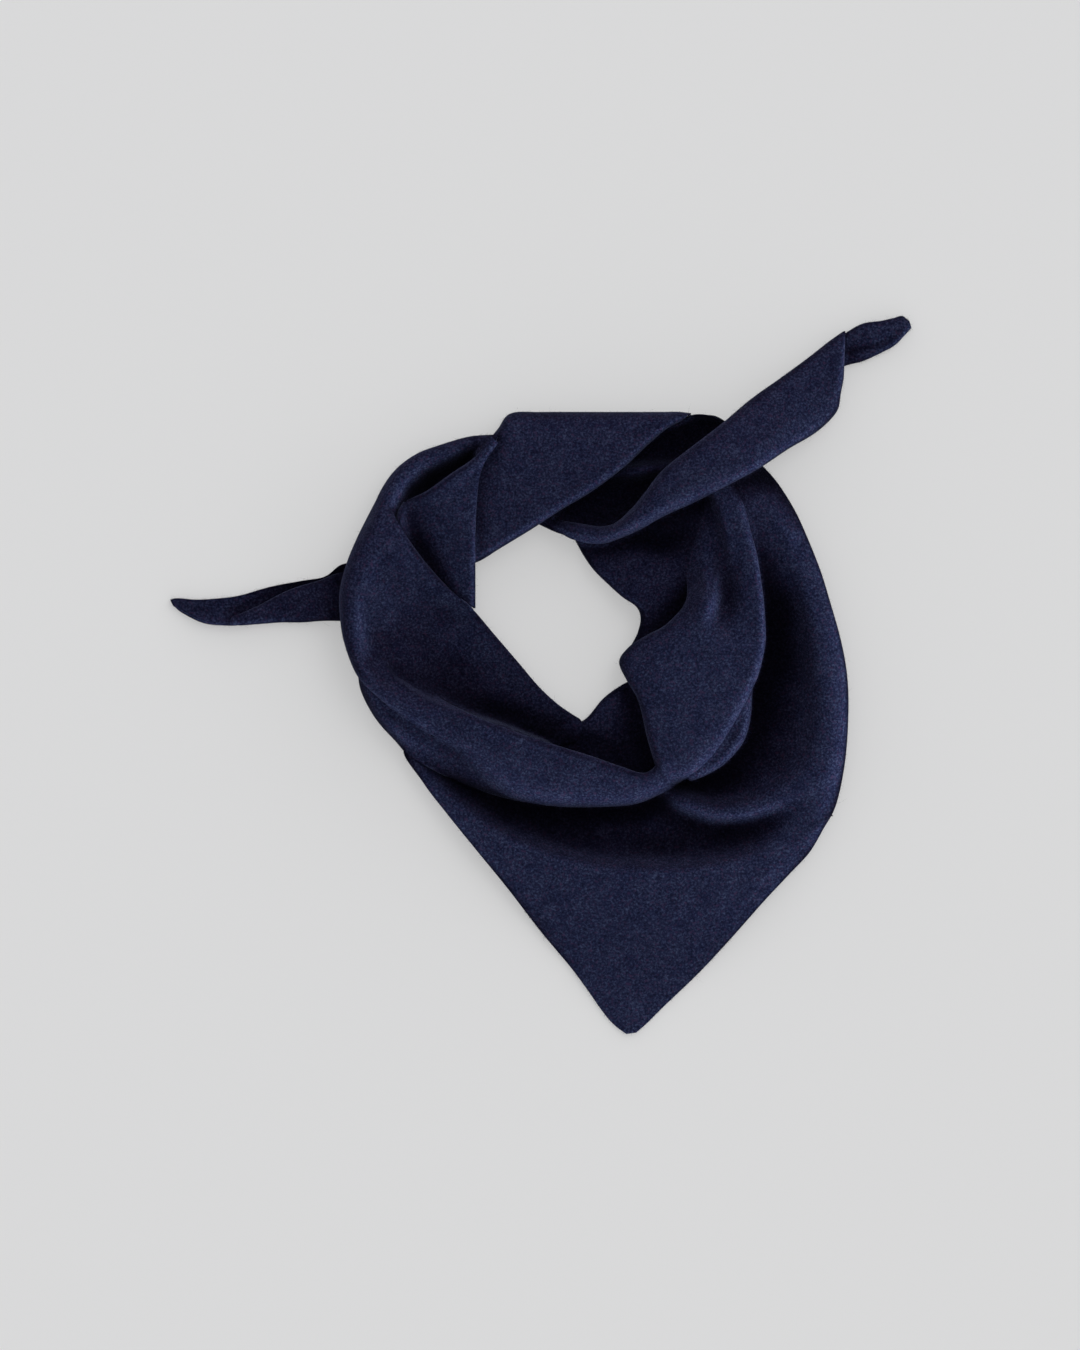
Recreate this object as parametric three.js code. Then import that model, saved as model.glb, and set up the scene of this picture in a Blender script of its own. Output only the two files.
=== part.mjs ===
// A triangular wool bandana, laid out on a flat surface in the round shape in which it is worn.
// X runs to the right, Y away from the bib's point, Z up. The origin is on the surface, at the box's middle.
// Each stretch of cloth that shows is a thin wall. The stretches are laid one after the other on a height map
// of the pile, so that each one lies on those below it. The layers that don't show are rounded solids between.
import * as THREE from "three";

// Driving dimensions, in millimetres.
const clothWall = 2; // thickness of the felted knit
const seamGap = 0.4; // clearance between two stretches that touch
const mapCell = 2; // side of one cell of the height map
const mapHalf = 280; // the map reaches this far each way from the origin
const reachRadius = 5; // a point of the cloth clears all that lies this near to it
const footReach = 3; // and the foot of a rolled edge clears what lies this near
const flatTolerance = 0.15; // ridges lower than this leave the cloth flat
const coreClearance = 0.5; // room between the hidden layers and the cloth on them
const coreLeast = 1.6; // least height of the hidden layers' solids
const layerBulge = 1.2; // how far each hidden layer's edge stands out
const layerCount = 3; // layers that show at the hidden solids' edges
const rollAngles = [0, 35, 65]; // degrees round a folded edge's roll at which it has points
const widestRoll = 0.36; // a roll's radius is at most this share of the section's width
const widestWall = 0.22; // and the wall is at most this share, at a narrow tip
const leastWall = 0.75; // upright thickness of the wall on a steep slope, as a share of the wall
const leastStep = 0.12; // least distance along a section between two inner points

const navy = "#24263f";
const navyInner = "#1d1f35";
const navyHidden = "#181a2c";

// Named columns make each row of a table an object.
const table = (columns, rows) =>
  rows.map((row) => Object.fromEntries(columns.split(" ").map((name, i) => [name, row[i]])));

// Columns of a section: both ends in plan, and the top's height at five places from the first to the second.
const sectionColumns = "ax ay bx by z0 z1 z2 z3 z4";
// Columns of a section of the hidden layers: its ends only, because its height comes from the cloth round it.
const planColumns = "ax ay bx by";
// Columns of a ridge point: place, height, and how far the ridge spreads to the left and right of its line.
const ridgeColumns = "x y height left right";

const stretches = [
  {
    name: "bib",
    colour: navy,
    underHidden: true,
    along: 34,
    across: 13,
    edgeA: { roll: 0 },
    edgeB: { roll: 0 },
    sections: table(sectionColumns, [
      [60, -252, 67, -251, 2, 2, 2, 2, 2],
      [52, -246, 75, -244, 2, 2, 2, 2, 2],
      [44, -237, 86, -233, 2, 2, 2, 2, 2],
      [24, -209, 111, -209, 2, 2, 2, 2, 2],
      [0, -180, 135, -183, 2, 2, 2, 2, 2],
      [-23, -150, 157, -158, 2, 2, 2, 2, 2],
      [-45, -123, 174, -140, 2, 2, 2, 2, 2],
      [-66, -97, 188, -125, 2, 2, 2, 2, 2],
      [-82, -76, 198, -108, 2, 2, 2, 2, 2],
      [-95, -52, 205, -96, 2, 2, 2, 2, 2],
      [-56, -55, 209, -83, 2, 2, 2, 2, 2],
      [-14, -58, 212, -67, 2, 2, 2, 2, 2],
      [35, -59, 214, -50, 2, 2, 2, 2, 2],
      [77, -56, 215, -31, 2, 2, 2, 2, 2],
      [106, -48, 215, -11, 2, 2, 2, 2, 2],
      [127, -36, 213, 8, 2, 2, 2, 2, 2],
      [137, -22, 209, 27, 2, 2, 2, 2, 2],
      [142, -1, 203, 48, 2, 2, 2, 2, 2],
      [145, 27, 196, 71, 2, 2, 2, 2, 2],
      [142, 55, 187, 94, 2, 2, 2, 2, 2],
      [138, 80, 178, 114, 2, 2, 2, 2, 2],
      [131, 104, 167, 132, 2, 2, 2, 2, 2],
      [124, 125, 157, 144, 2, 2, 2, 2, 2],
      [118, 141, 147, 153, 2, 2, 2, 2, 2],
    ]),
    ridges: [
      // The soft roll along the right side.
      table(ridgeColumns, [
        [150, 137, 2, 5, 8],
        [172, 108, 7, 7, 12],
        [186, 73, 11, 8, 14],
        [196, 31, 14, 9, 16],
        [201, -11, 15, 9, 16],
        [201, -50, 13, 9, 18],
        [196, -81, 8, 9, 18],
        [185, -108, 4, 9, 18],
        [172, -129, 0, 8, 18],
      ]),
      // The puff under the front right corner of the ring.
      table(ridgeColumns, [
        [90, -80, 6, 12, 6],
        [105, -90, 13, 14, 6],
        [127, -95, 15, 16, 6],
        [152, -90, 14, 16, 7],
        [175, -76, 10, 16, 9],
        [192, -57, 3, 16, 12],
      ]),
      // The low swell across the chest.
      table(ridgeColumns, [
        [-40, -118, 0, 14, 20],
        [20, -128, 3, 14, 22],
        [80, -134, 4, 14, 24],
        [130, -134, 4, 14, 24],
        [170, -128, 0, 14, 20],
      ]),
    ],
  },
  {
    name: "left_tail_inner_face",
    colour: navyInner,
    underHidden: true,
    along: 12,
    across: 4,
    edgeA: { roll: 0 },
    edgeB: { roll: 0 },
    sections: table(sectionColumns, [
      [-259, 52, -257, 47.5, 3, 3, 3, 3, 3],
      [-254, 53, -249, 42.5, 4, 3, 2.5, 3, 5],
      [-240, 52, -236, 36, 4, 3, 2.2, 3, 6],
      [-224, 53, -223, 34, 4, 3, 2.2, 3, 6],
      [-210, 55, -208, 35, 4, 3, 2.2, 3, 4],
      [-189, 61, -188, 46, 4, 3, 2.5, 2.2, 2],
      [-168, 65, -168, 52, 4, 3, 2.5, 2.2, 2],
      [-151, 68, -150, 57, 4, 3, 2.5, 2.2, 2],
      [-140, 76, -137, 59, 4, 3, 2.5, 2.2, 2],
      [-130, 78, -127, 59, 3, 3, 2.5, 2.2, 2],
    ]),
    ridges: [],
  },
  {
    name: "left_tail",
    colour: navy,
    underHidden: true,
    along: 12,
    across: 3,
    edgeA: { roll: 3 },
    edgeB: { roll: 3 },
    sections: table(sectionColumns, [
      [-216, 40, -218, 34, 6, 6, 6, 6, 6],
      [-207, 43.5, -208, 34, 7, 7, 7, 7, 7],
      [-195, 49, -195, 35, 8, 8, 8, 8, 7],
      [-182, 56, -181, 36, 9, 9, 8, 8, 7],
      [-170, 61, -167, 36, 9, 9, 8, 8, 7],
      [-156, 65, -153, 37, 9, 8, 7, 7, 7],
      [-143, 70, -140, 37, 8, 7, 6, 6, 6],
      [-129, 73, -128, 36, 6, 6, 6, 6, 6],
    ]),
    ridges: [],
  },
  {
    name: "left_under_layer",
    colour: navyInner,
    underHidden: true,
    along: 14,
    across: 3,
    edgeA: { roll: 5 },
    edgeB: { roll: 0 },
    sections: table(sectionColumns, [
      [-127, 0, -119, 3, 8, 8, 8, 8, 8],
      [-124, -14, -113, -7, 11, 12, 12, 12, 11],
      [-114, -31.5, -102, -21, 12, 13, 13, 13, 12],
      [-100, -47, -88, -33, 12, 13, 13, 13, 12],
      [-91, -57, -78, -41, 12, 13, 13, 13, 12],
      [-70, -69, -62, -51, 12, 13, 13, 13, 12],
      [-44, -80.5, -40, -63, 12, 13, 13, 13, 12],
      [-18, -88, -16, -73, 11, 12, 12, 12, 11],
      [0, -90, 1, -80, 9, 10, 10, 10, 9],
    ]),
    ridges: [],
  },
  {
    name: "slit_back",
    colour: navyInner,
    along: 14,
    across: 5,
    edgeA: { roll: 3.5 },
    edgeB: { roll: 3.5 },
    sections: table(sectionColumns, [
      [-6, 115, -2, 105, 8, 8, 9, 9, 9],
      [5, 122, 14, 98, 7, 8, 10, 12, 14],
      [21, 130, 30, 95, 6, 5, 6, 10, 12],
      [40, 140, 54, 99, 6, 4, 4, 6, 10.5],
      [59, 155, 78, 116, 7, 6, 6, 7, 10.5],
      [75, 170, 99, 134, 8, 6, 5, 6, 9],
      [92, 176, 116, 150, 12, 7, 5, 7, 10],
      [106, 181, 127, 160, 15, 8, 6, 8, 10],
      [116, 181, 134, 167, 15, 10, 8, 9, 10],
      [123, 179, 138, 170, 14, 12, 11, 11, 11],
    ]),
    ridges: [
      table(ridgeColumns, [
        [54, 141, 4, 6, 6],
        [70, 143, 8, 7, 7],
        [88, 144, 6, 7, 7],
      ]),
    ],
  },
  {
    name: "top_wrap",
    colour: navy,
    along: 14,
    across: 6,
    edgeA: { roll: 8 },
    edgeB: { roll: 4 },
    sections: table(sectionColumns, [
      [-41, 158, -61, 76, 14, 17, 16, 15, 14],
      [-30, 171, -45, 78, 18, 20, 19, 18, 16],
      [-21, 182, -28, 88, 19, 23, 23, 21, 19],
      [0, 183, -5, 102, 19, 24, 25, 24, 21],
      [28, 183, 15, 115, 20, 25, 26, 25, 22],
      [54, 183, 35, 127, 20, 25, 26, 26, 23],
      [71, 183, 58, 144, 20, 24, 25, 26, 23],
      [84, 183, 75, 160, 20, 22, 23, 24, 22],
      [96, 183, 88, 171, 20, 21, 22, 22, 21],
      [105, 182, 99, 177, 20, 20, 20, 20, 20],
    ]),
    ridges: [],
  },
  {
    name: "corner_panel",
    colour: navyInner,
    along: 6,
    across: 5,
    edgeA: { roll: 3.5 },
    edgeB: { roll: 0 },
    sections: table(sectionColumns, [
      [18, -38, 8, -53, 7, 7, 7, 7, 7],
      [32, -31, 30, -60, 9, 8, 7, 7, 7],
      [44, -17, 50, -66, 10, 9, 8, 7, 7],
      [58, -7, 70, -73, 11, 10, 9, 8, 7],
      [70, -2, 86, -72, 12, 11, 10, 9, 8],
    ]),
    ridges: [],
  },
  {
    name: "right_inner_panel",
    colour: navyInner,
    along: 14,
    across: 6,
    edgeA: { roll: 3.5 },
    edgeB: { roll: 0 },
    sections: table(sectionColumns, [
      [24, 94, 106, 138, 12, 12, 12, 14, 18],
      [30, 83, 128, 117, 10, 12, 12, 14, 20],
      [37, 73, 128, 94, 10, 13, 13, 14, 20],
      [46, 64, 122, 69, 10, 13, 15, 15, 18],
      [57, 54, 113, 50, 11, 13, 15, 16, 16],
      [67, 47, 105, 36, 12, 13, 14, 15, 15],
      [70, 39, 97, 25, 12, 13, 13, 13, 13],
      [68, 29, 88, 17, 12, 12, 12, 12, 12],
      [64, 21, 79, 11, 11, 11, 11, 11, 11],
    ]),
    ridges: [],
  },
  {
    name: "left_arch",
    colour: navy,
    along: 12,
    across: 4,
    edgeA: { roll: 8 },
    edgeB: { roll: 0 },
    sections: table(sectionColumns, [
      [-29, 167, -35, 158, 18, 17, 16, 14, 12],
      [-49, 166, -49, 145, 20, 19, 13, 7, 5],
      [-70, 160, -63, 134, 21, 21, 13, 6, 4],
      [-86, 154, -75, 127, 21, 22, 14, 6, 4],
      [-100, 144, -86, 122, 21, 23, 16, 9, 6],
      [-110, 131, -95, 114, 21, 23, 21, 16, 12],
      [-117, 116, -96, 104, 22, 23, 22, 20, 17],
      [-123, 100, -100, 96, 21, 22, 22, 22, 20],
    ]),
    ridges: [],
  },
  {
    name: "left_flap",
    colour: navy,
    along: 12,
    across: 5,
    edgeA: { roll: 3.5 },
    edgeB: { roll: 3.5 },
    sections: table(sectionColumns, [
      [-35, 166, -29.5, 161, 22, 22, 22, 22, 22],
      [-48, 154, -40, 149, 24, 24, 24, 23, 22],
      [-66, 141, -44, 140, 25, 25, 24, 22, 22],
      [-82, 130, -45, 125, 24, 24, 23, 22, 23],
      [-96, 118, -46, 108, 21, 20, 21, 22, 23],
      [-95, 99, -46.5, 91, 19, 18, 19, 21, 22],
      [-84, 80, -46.5, 78, 16, 16, 17, 19, 21],
      [-70, 64, -46.5, 64, 14, 14, 15, 16, 17],
      [-58, 51, -46.5, 50, 13, 13, 13, 13, 13],
    ]),
    ridges: [],
  },
  {
    name: "left_panel",
    colour: navy,
    along: 22,
    across: 9,
    edgeA: { roll: 8 },
    edgeB: { roll: 3.5 },
    sections: table(sectionColumns, [
      [-114, 123, -103, 117, 26, 26, 26, 26, 26],
      [-121, 110, -96, 106, 26, 28, 28, 28, 27],
      [-128, 95, -86, 92, 26, 29, 29, 28, 26],
      [-135, 78, -74, 76, 25, 30, 29, 27, 24],
      [-140, 59, -59, 60, 25, 30, 28, 25, 21],
      [-140, 41, -46, 47, 24, 29, 26, 21, 18],
      [-137, 24, -30, 27, 23, 27, 22, 17, 17],
      [-131, 8, -13, 6, 22, 24, 17, 14, 17],
      [-117, -2, 8, -17, 19, 17, 12, 12, 16],
      [-96, -15, 19, -26, 17, 13, 11, 11, 15],
      [-63, -27, 30, -31, 14, 12, 11, 11, 14],
      [-28, -40, 28, -37, 12, 11, 11, 11, 12],
      [-4, -51, 20, -46, 11, 11, 11, 11, 11],
    ]),
    ridges: [],
  },
  {
    name: "front_roll",
    colour: navy,
    along: 22,
    across: 5,
    edgeA: { roll: 7 },
    edgeB: { roll: 4 },
    sections: table(sectionColumns, [
      [-130, 3, -120, 11, 26, 27, 27, 27, 27],
      [-123, -7, -110, 4, 26, 28, 28, 28, 28],
      [-110, -20, -91, -8, 25, 28, 29, 29, 28],
      [-96, -33, -73, -17, 25, 29, 30, 30, 29],
      [-79, -45, -55, -24, 25, 30, 31, 31, 30],
      [-58, -60, -35, -32, 24, 30, 32, 32, 31],
      [-38, -77, -14, -40, 22, 29, 32, 33, 32],
      [-13, -91, 7, -48, 20, 28, 32, 33, 32],
      [17, -93, 29, -54, 20, 28, 31, 32, 31],
      [45, -93, 50, -60, 20, 27, 29, 30, 29],
      [68, -91, 68, -67, 20, 25, 27, 28, 27],
      [84, -87, 81, -73, 20, 23, 25, 25, 24],
      [95, -78, 91, -69, 20, 21, 22, 22, 22],
    ]),
    ridges: [],
  },
  {
    name: "petal_under_layer",
    colour: navyInner,
    along: 10,
    across: 3,
    edgeA: { roll: 0 },
    edgeB: { roll: 4 },
    sections: table(sectionColumns, [
      [137, 9, 150, 6, 20, 20, 20, 20, 20],
      [133, -11, 148, -13, 21, 21, 21, 21, 20],
      [127, -25, 147, -28, 22, 22, 22, 22, 20],
      [120, -37, 144, -42, 22, 22, 22, 22, 20],
      [113, -48, 138, -53, 22, 22, 22, 22, 20],
      [106, -57, 127, -64, 22, 22, 22, 22, 20],
      [99, -64, 115, -71, 21, 21, 21, 21, 20],
      [95, -69, 105, -75, 20, 20, 20, 20, 20],
    ]),
    ridges: [],
  },
  {
    name: "right_petal",
    colour: navy,
    along: 26,
    across: 8,
    edgeA: { roll: 4 },
    edgeB: { roll: 6 },
    sections: table(sectionColumns, [
      [122, 130, 133, 131, 25, 25, 25, 25, 24],
      [124, 115, 141, 120, 24, 26, 28, 30, 28],
      [120, 97, 146, 102, 21, 23, 26, 30, 29],
      [109, 83, 151, 83, 21, 24, 25, 29, 30],
      [105, 66, 154, 64, 24, 29, 26, 29, 31],
      [102, 50, 156, 46, 26, 31, 28, 29, 31],
      [89, 35, 157, 27, 24, 29, 32, 30, 32],
      [74, 27, 156, 17, 21, 28, 31, 31, 32],
      [63, 20, 154, 7, 18, 27, 31, 31, 31],
      [55, 9, 151, -3, 17, 27, 31, 31, 30],
      [60, -4, 145, -16, 22, 29, 31, 31, 29],
      [67, -16, 138, -29, 25, 30, 32, 31, 28],
      [71, -29, 131, -41, 27, 31, 32, 31, 28],
      [74, -43, 123, -53, 28, 31, 32, 31, 28],
      [78, -57, 113, -65, 28, 31, 31, 30, 27],
      [84, -71, 104, -76, 27, 29, 29, 28, 26],
      [90, -80, 98, -82, 25, 26, 26, 26, 25],
    ]),
    ridges: [
      table(ridgeColumns, [
        [110, 78, 1, 6, 6],
        [123, 55, 3, 6, 7],
        [124, 37, 3, 6, 8],
        [112, 13, 0, 7, 8],
      ]),
      table(ridgeColumns, [
        [135, 96, -2, 6, 6],
        [133, 70, -5, 6, 6],
        [134, 45, -4, 6, 6],
        [136, 20, 0, 6, 6],
      ]),
    ],
  },
  {
    name: "right_tail_tip",
    colour: navyInner,
    along: 8,
    across: 4,
    edgeA: { roll: 3 },
    edgeB: { roll: 3 },
    sections: table(sectionColumns, [
      [203, 231, 206, 212, 6.5, 6.5, 6.5, 6.5, 6.5],
      [212.5, 238, 214.5, 216, 7, 7, 7, 7, 7],
      [225, 245, 226, 219, 7, 7, 6.5, 6, 6],
      [238, 247, 239, 225, 7, 7, 6.5, 6, 6],
      [247, 249, 248, 230, 7, 7, 6.5, 6, 6],
      [253, 250.5, 255, 237, 6, 6, 6, 6, 6],
      [258, 247, 259.5, 242, 5, 5, 5, 5, 5],
    ]),
    ridges: [
      table(ridgeColumns, [
        [212, 225, -2, 3, 3],
        [238, 231, -2.5, 3, 3],
        [250, 240, -1, 3, 3],
      ]),
    ],
  },
  {
    name: "right_tail",
    colour: navy,
    along: 22,
    across: 5,
    edgeA: { roll: 4, deepest: 10 },
    edgeB: { roll: 4, deepest: 10 },
    sections: table(sectionColumns, [
      [25, 106, 23, 94, 17, 17, 17, 17, 17],
      [33, 105, 30, 91, 19, 20, 20, 20, 19],
      [42, 103, 42, 90, 21, 22, 23, 22, 20],
      [53, 106, 54, 94, 23, 24, 25, 24, 22],
      [64, 116, 70, 101, 26, 27, 28, 27, 25],
      [73, 127, 86, 110, 29, 30, 31, 30, 28],
      [85, 142, 106, 119, 32, 34, 35, 34, 32],
      [105, 158, 128, 130, 33, 36, 38, 38, 36],
      [127, 175, 152, 143, 30, 34, 36, 37, 35],
      [147, 192, 173, 157, 22, 26, 27, 27, 25],
      [168, 207, 190, 167, 16, 18, 19, 18, 17],
      [187, 221, 201, 176, 12, 14, 14, 14, 13],
      [201, 232, 208, 185, 11, 12, 13, 13, 12],
      [211, 239, 210, 196, 11, 12, 12, 12, 11],
      [213, 239.5, 212, 206, 9, 9, 9, 9, 9],
    ]),
    ridges: [],
  },
];

// The layers that don't show: rounded solids between the lowest stretches and the ones on top. A point of them
// clears all cloth that is within its reach.
const hiddenLayers = [
  {
    name: "hidden_layers_back",
    along: 12,
    across: 8,
    reach: 5,
    sections: table(planColumns, [
      [-38, 92, -32, 152],
      [-23, 103, -14, 168],
      [-12, 120, 3, 171],
      [8, 136, 28, 171],
      [30, 150, 49, 171],
      [50, 160, 58, 171],
    ]),
  },
  {
    name: "hidden_layers_left",
    along: 16,
    across: 11,
    reach: 4,
    sections: table(planColumns, [
      [-98, 92, -116, 94],
      [-87, 74, -121, 76],
      [-67, 50, -122, 50],
      [-45, 30, -122, 28],
      [-28, 11, -115, 13],
      [-12, -6, -98, -3],
    ]),
  },
  {
    name: "hidden_layers_front",
    along: 12,
    across: 4,
    reach: 9,
    sections: table(planColumns, [
      [-70, -31, -76, -42],
      [-48, -38, -55, -50],
      [-24, -48, -34, -61],
      [-3, -59, -13, -70],
      [12, -64, 6, -76],
      [34, -70, 30, -79],
      [54, -74, 52, -80],
    ]),
  },
  {
    name: "hidden_layers_right",
    along: 14,
    across: 6,
    reach: 9,
    sections: table(planColumns, [
      [96, 112, 122, 120],
      [72, 88, 130, 104],
      [66, 66, 138, 80],
      [83, 44, 144, 56],
      [86, 24, 147, 34],
      [74, 6, 144, 10],
      [72, -10, 134, -14],
      [80, -34, 122, -36],
      [90, -52, 106, -54],
    ]),
  },
];

const clamp = (value, low, high) => Math.min(high, Math.max(low, value));

// A smooth curve through one column of a table, at place t from 0 (first row) to 1 (last row).
function smoothColumn(values, t) {
  const at = clamp(t, 0, 1) * (values.length - 1);
  const i = Math.min(Math.floor(at), values.length - 2);
  const s = at - i;
  const p1 = values[i];
  const p2 = values[i + 1];
  const p0 = values[i - 1] ?? 2 * p1 - p2;
  const p3 = values[i + 2] ?? 2 * p2 - p1;
  const linear = s * (p2 - p0);
  const square = s * s * (2 * p0 - 5 * p1 + 4 * p2 - p3);
  const cube = s * s * s * (3 * p1 - p0 - 3 * p2 + p3);
  return p1 + (linear + square + cube) / 2;
}

// All columns of a table at place t.
const rowAt = (rows, t) => {
  const column = (name) => smoothColumn(rows.map((row) => row[name]), t);
  return Object.fromEntries(Object.keys(rows[0]).map((name) => [name, column(name)]));
};

// Two maps over the surface: the highest cloth so far, and the lowest cloth above the hidden layers.
class HeightMap {
  constructor(start, pick) {
    this.side = Math.ceil((2 * mapHalf) / mapCell) + 1;
    this.start = start;
    this.pick = pick;
    this.cells = new Float64Array(this.side * this.side).fill(start);
  }

  cell(x) {
    return Math.round((x + mapHalf) / mapCell);
  }

  mark(x, y, z) {
    const index = this.cell(y) * this.side + this.cell(x);
    this.cells[index] = this.pick(this.cells[index], z);
  }

  markTriangle(a, b, c) {
    const longest = Math.max(a.distanceTo(b), b.distanceTo(c), c.distanceTo(a));
    const steps = Math.max(1, Math.ceil((2 * longest) / mapCell));
    for (let i = 0; i <= steps; i++) {
      for (let j = 0; j <= steps - i; j++) {
        const [s, t] = [i / steps, j / steps];
        const r = 1 - s - t;
        this.mark(r * a.x + s * b.x + t * c.x, r * a.y + s * b.y + t * c.y, r * a.z + s * b.z + t * c.z);
      }
    }
  }

  near(x, y, radius) {
    const reach = Math.ceil(radius / mapCell);
    let best = this.start;
    for (let i = -reach; i <= reach; i++) {
      for (let j = -reach; j <= reach; j++) {
        if (i * i + j * j > reach * reach + 1) continue;
        best = this.pick(best, this.cells[(this.cell(y) + j) * this.side + this.cell(x) + i]);
      }
    }
    return best;
  }
}

const pile = new HeightMap(0, Math.max);
const lowPile = new HeightMap(0, Math.max);
const ceiling = new HeightMap(Infinity, Math.min);

// The lowest place for cloth at a point: on the surface itself, or just clear of the stretch below.
const restHeight = (map, x, y, radius) => {
  const top = map.near(x, y, radius);
  return top > 0 ? top + seamGap : 0;
};

// Height that a ridge adds at a point, fading out to each side of its line.
function ridgeHeight(points, x, y) {
  const pieces = 12;
  let nearest = { distance: Infinity };
  for (let i = 0; i < pieces; i++) {
    const p = rowAt(points, i / pieces);
    const q = rowAt(points, (i + 1) / pieces);
    const length = Math.hypot(q.x - p.x, q.y - p.y);
    const along = clamp(((x - p.x) * (q.x - p.x) + (y - p.y) * (q.y - p.y)) / length ** 2, 0, 1);
    const offX = x - p.x - along * (q.x - p.x);
    const offY = y - p.y - along * (q.y - p.y);
    const distance = Math.hypot(offX, offY);
    const isLeft = (q.x - p.x) * offY - (q.y - p.y) * offX > 0;
    if (distance < nearest.distance) nearest = { distance, isLeft, at: (i + along) / pieces };
  }
  const { height, left, right } = rowAt(points, nearest.at);
  return height * Math.exp(-((nearest.distance / (nearest.isLeft ? left : right)) ** 2));
}

function ridgeSum(ridges, x, y) {
  const sum = ridges.reduce((total, points) => total + ridgeHeight(points, x, y), 0);
  return Math.sign(sum) * Math.max(0, Math.abs(sum) - flatTolerance);
}

// How far from its middle a rolled edge's top has dropped, at each of its angles in degrees.
const rollPoints = (roll) =>
  rollAngles.map((angle) => {
    const turn = THREE.MathUtils.degToRad(angle);
    return { inset: roll * (1 - Math.cos(turn)), drop: roll * (1 - Math.sin(turn)) };
  });

// Height of a line of points at distance d along the section.
function heightOn(points, d) {
  const i = clamp(points.findIndex((point) => point.d > d), 1, points.length - 1);
  const [p, q] = [points[i - 1], points[i]];
  return q.d > p.d ? p.z + ((q.z - p.z) * clamp(d - p.d, 0, q.d - p.d)) / (q.d - p.d) : Math.min(p.z, q.z);
}

// Keeps the inner points in order along the section and below the outer ones, so that no wall cuts itself.
function tuckInner(outer, inner, least) {
  const lastPlace = inner.length - 1;
  const placed = inner.map((point) => ({ ...point }));
  for (let i = 1; i < lastPlace; i++) placed[i].d = Math.max(placed[i].d, placed[i - 1].d + leastStep);
  for (let i = lastPlace - 1; i > 0; i--) placed[i].d = Math.min(placed[i].d, placed[i + 1].d - leastStep);
  return placed.map(({ d, z }, i) => {
    if (i === 0 || i === placed.length - 1) return { d, z };
    const [from, to] = [placed[i - 1].d, placed[i + 1].d];
    const over = outer.filter((point) => point.d > from && point.d < to).map((point) => point.z);
    return { d, z: Math.min(z, Math.min(heightOn(outer, d), ...over) - least) };
  });
}

// One section of a stretch: its outer points from edge to edge, and the inner points one wall further in.
function wallSection(stretch, row) {
  const width = Math.hypot(row.bx - row.ax, row.by - row.ay);
  const [rollA, rollB] = [stretch.edgeA, stretch.edgeB].map(({ roll }) => Math.min(roll, width * widestRoll));
  const wall = Math.min(clothWall, width * widestWall);
  const profile = [row.z0, row.z1, row.z2, row.z3, row.z4];
  const place = (d) => [row.ax + ((row.bx - row.ax) * d) / width, row.ay + ((row.by - row.ay) * d) / width];
  const outerPoint = (d, drop) => {
    const [x, y] = place(d);
    const wanted = smoothColumn(profile, d / width) + ridgeSum(stretch.ridges, x, y) - drop;
    return { d, z: Math.max(wanted, restHeight(pile, x, y, reachRadius + clothWall) + wall) };
  };
  const foot = (edge, { d, z }) => {
    const rest = restHeight(pile, ...place(d), footReach);
    return { d, z: Math.max(rest, z - (edge.deepest ?? Infinity)) };
  };

  const outer = [];
  if (rollA > 0) {
    rollPoints(rollA).forEach(({ inset, drop }) => outer.push(outerPoint(inset, drop)));
    outer.unshift(foot(stretch.edgeA, outer[0]));
  }
  for (let i = 0; i <= stretch.across; i++) {
    outer.push(outerPoint(rollA + ((width - rollA - rollB) * i) / stretch.across, 0));
  }
  if (rollB > 0) {
    rollPoints(rollB).reverse().forEach(({ inset, drop }) => outer.push(outerPoint(width - inset, drop)));
    outer.push(foot(stretch.edgeB, outer[outer.length - 1]));
  }

  const last = outer.length - 1;
  const offset = outer.map((point, i) => {
    const before = outer[Math.max(i - 1, 0)];
    const after = outer[Math.min(i + 1, last)];
    const direction = new THREE.Vector2(after.d - before.d, after.z - before.z).normalize();
    const isFoot = (i === 0 && rollA > 0) || (i === last && rollB > 0);
    if (isFoot) return { d: point.d + (i === 0 ? wall : -wall), z: point.z };
    const isRoll = point.d < rollA || point.d > width - rollB;
    if (!isRoll) return { d: point.d, z: point.z - wall };
    return { d: point.d + wall * direction.y, z: point.z - wall * direction.x };
  });
  const inner = tuckInner(outer, offset, leastWall * wall).map(({ d, z }) => {
    const rest = restHeight(pile, ...place(d), footReach);
    return { d, z: rest === 0 && z < flatTolerance ? 0 : Math.max(z, rest) };
  });
  const toSpace = ({ d, z }) => new THREE.Vector3(...place(d), z);
  return { outer: outer.map(toSpace), inner: inner.map(toSpace) };
}

// Triangles of a strip between two rows of points.
function stitch(triangles, first, second) {
  for (let i = 0; i < first.length - 1; i++) {
    triangles.push([first[i], second[i], second[i + 1]], [first[i], second[i + 1], first[i + 1]]);
  }
}

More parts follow.
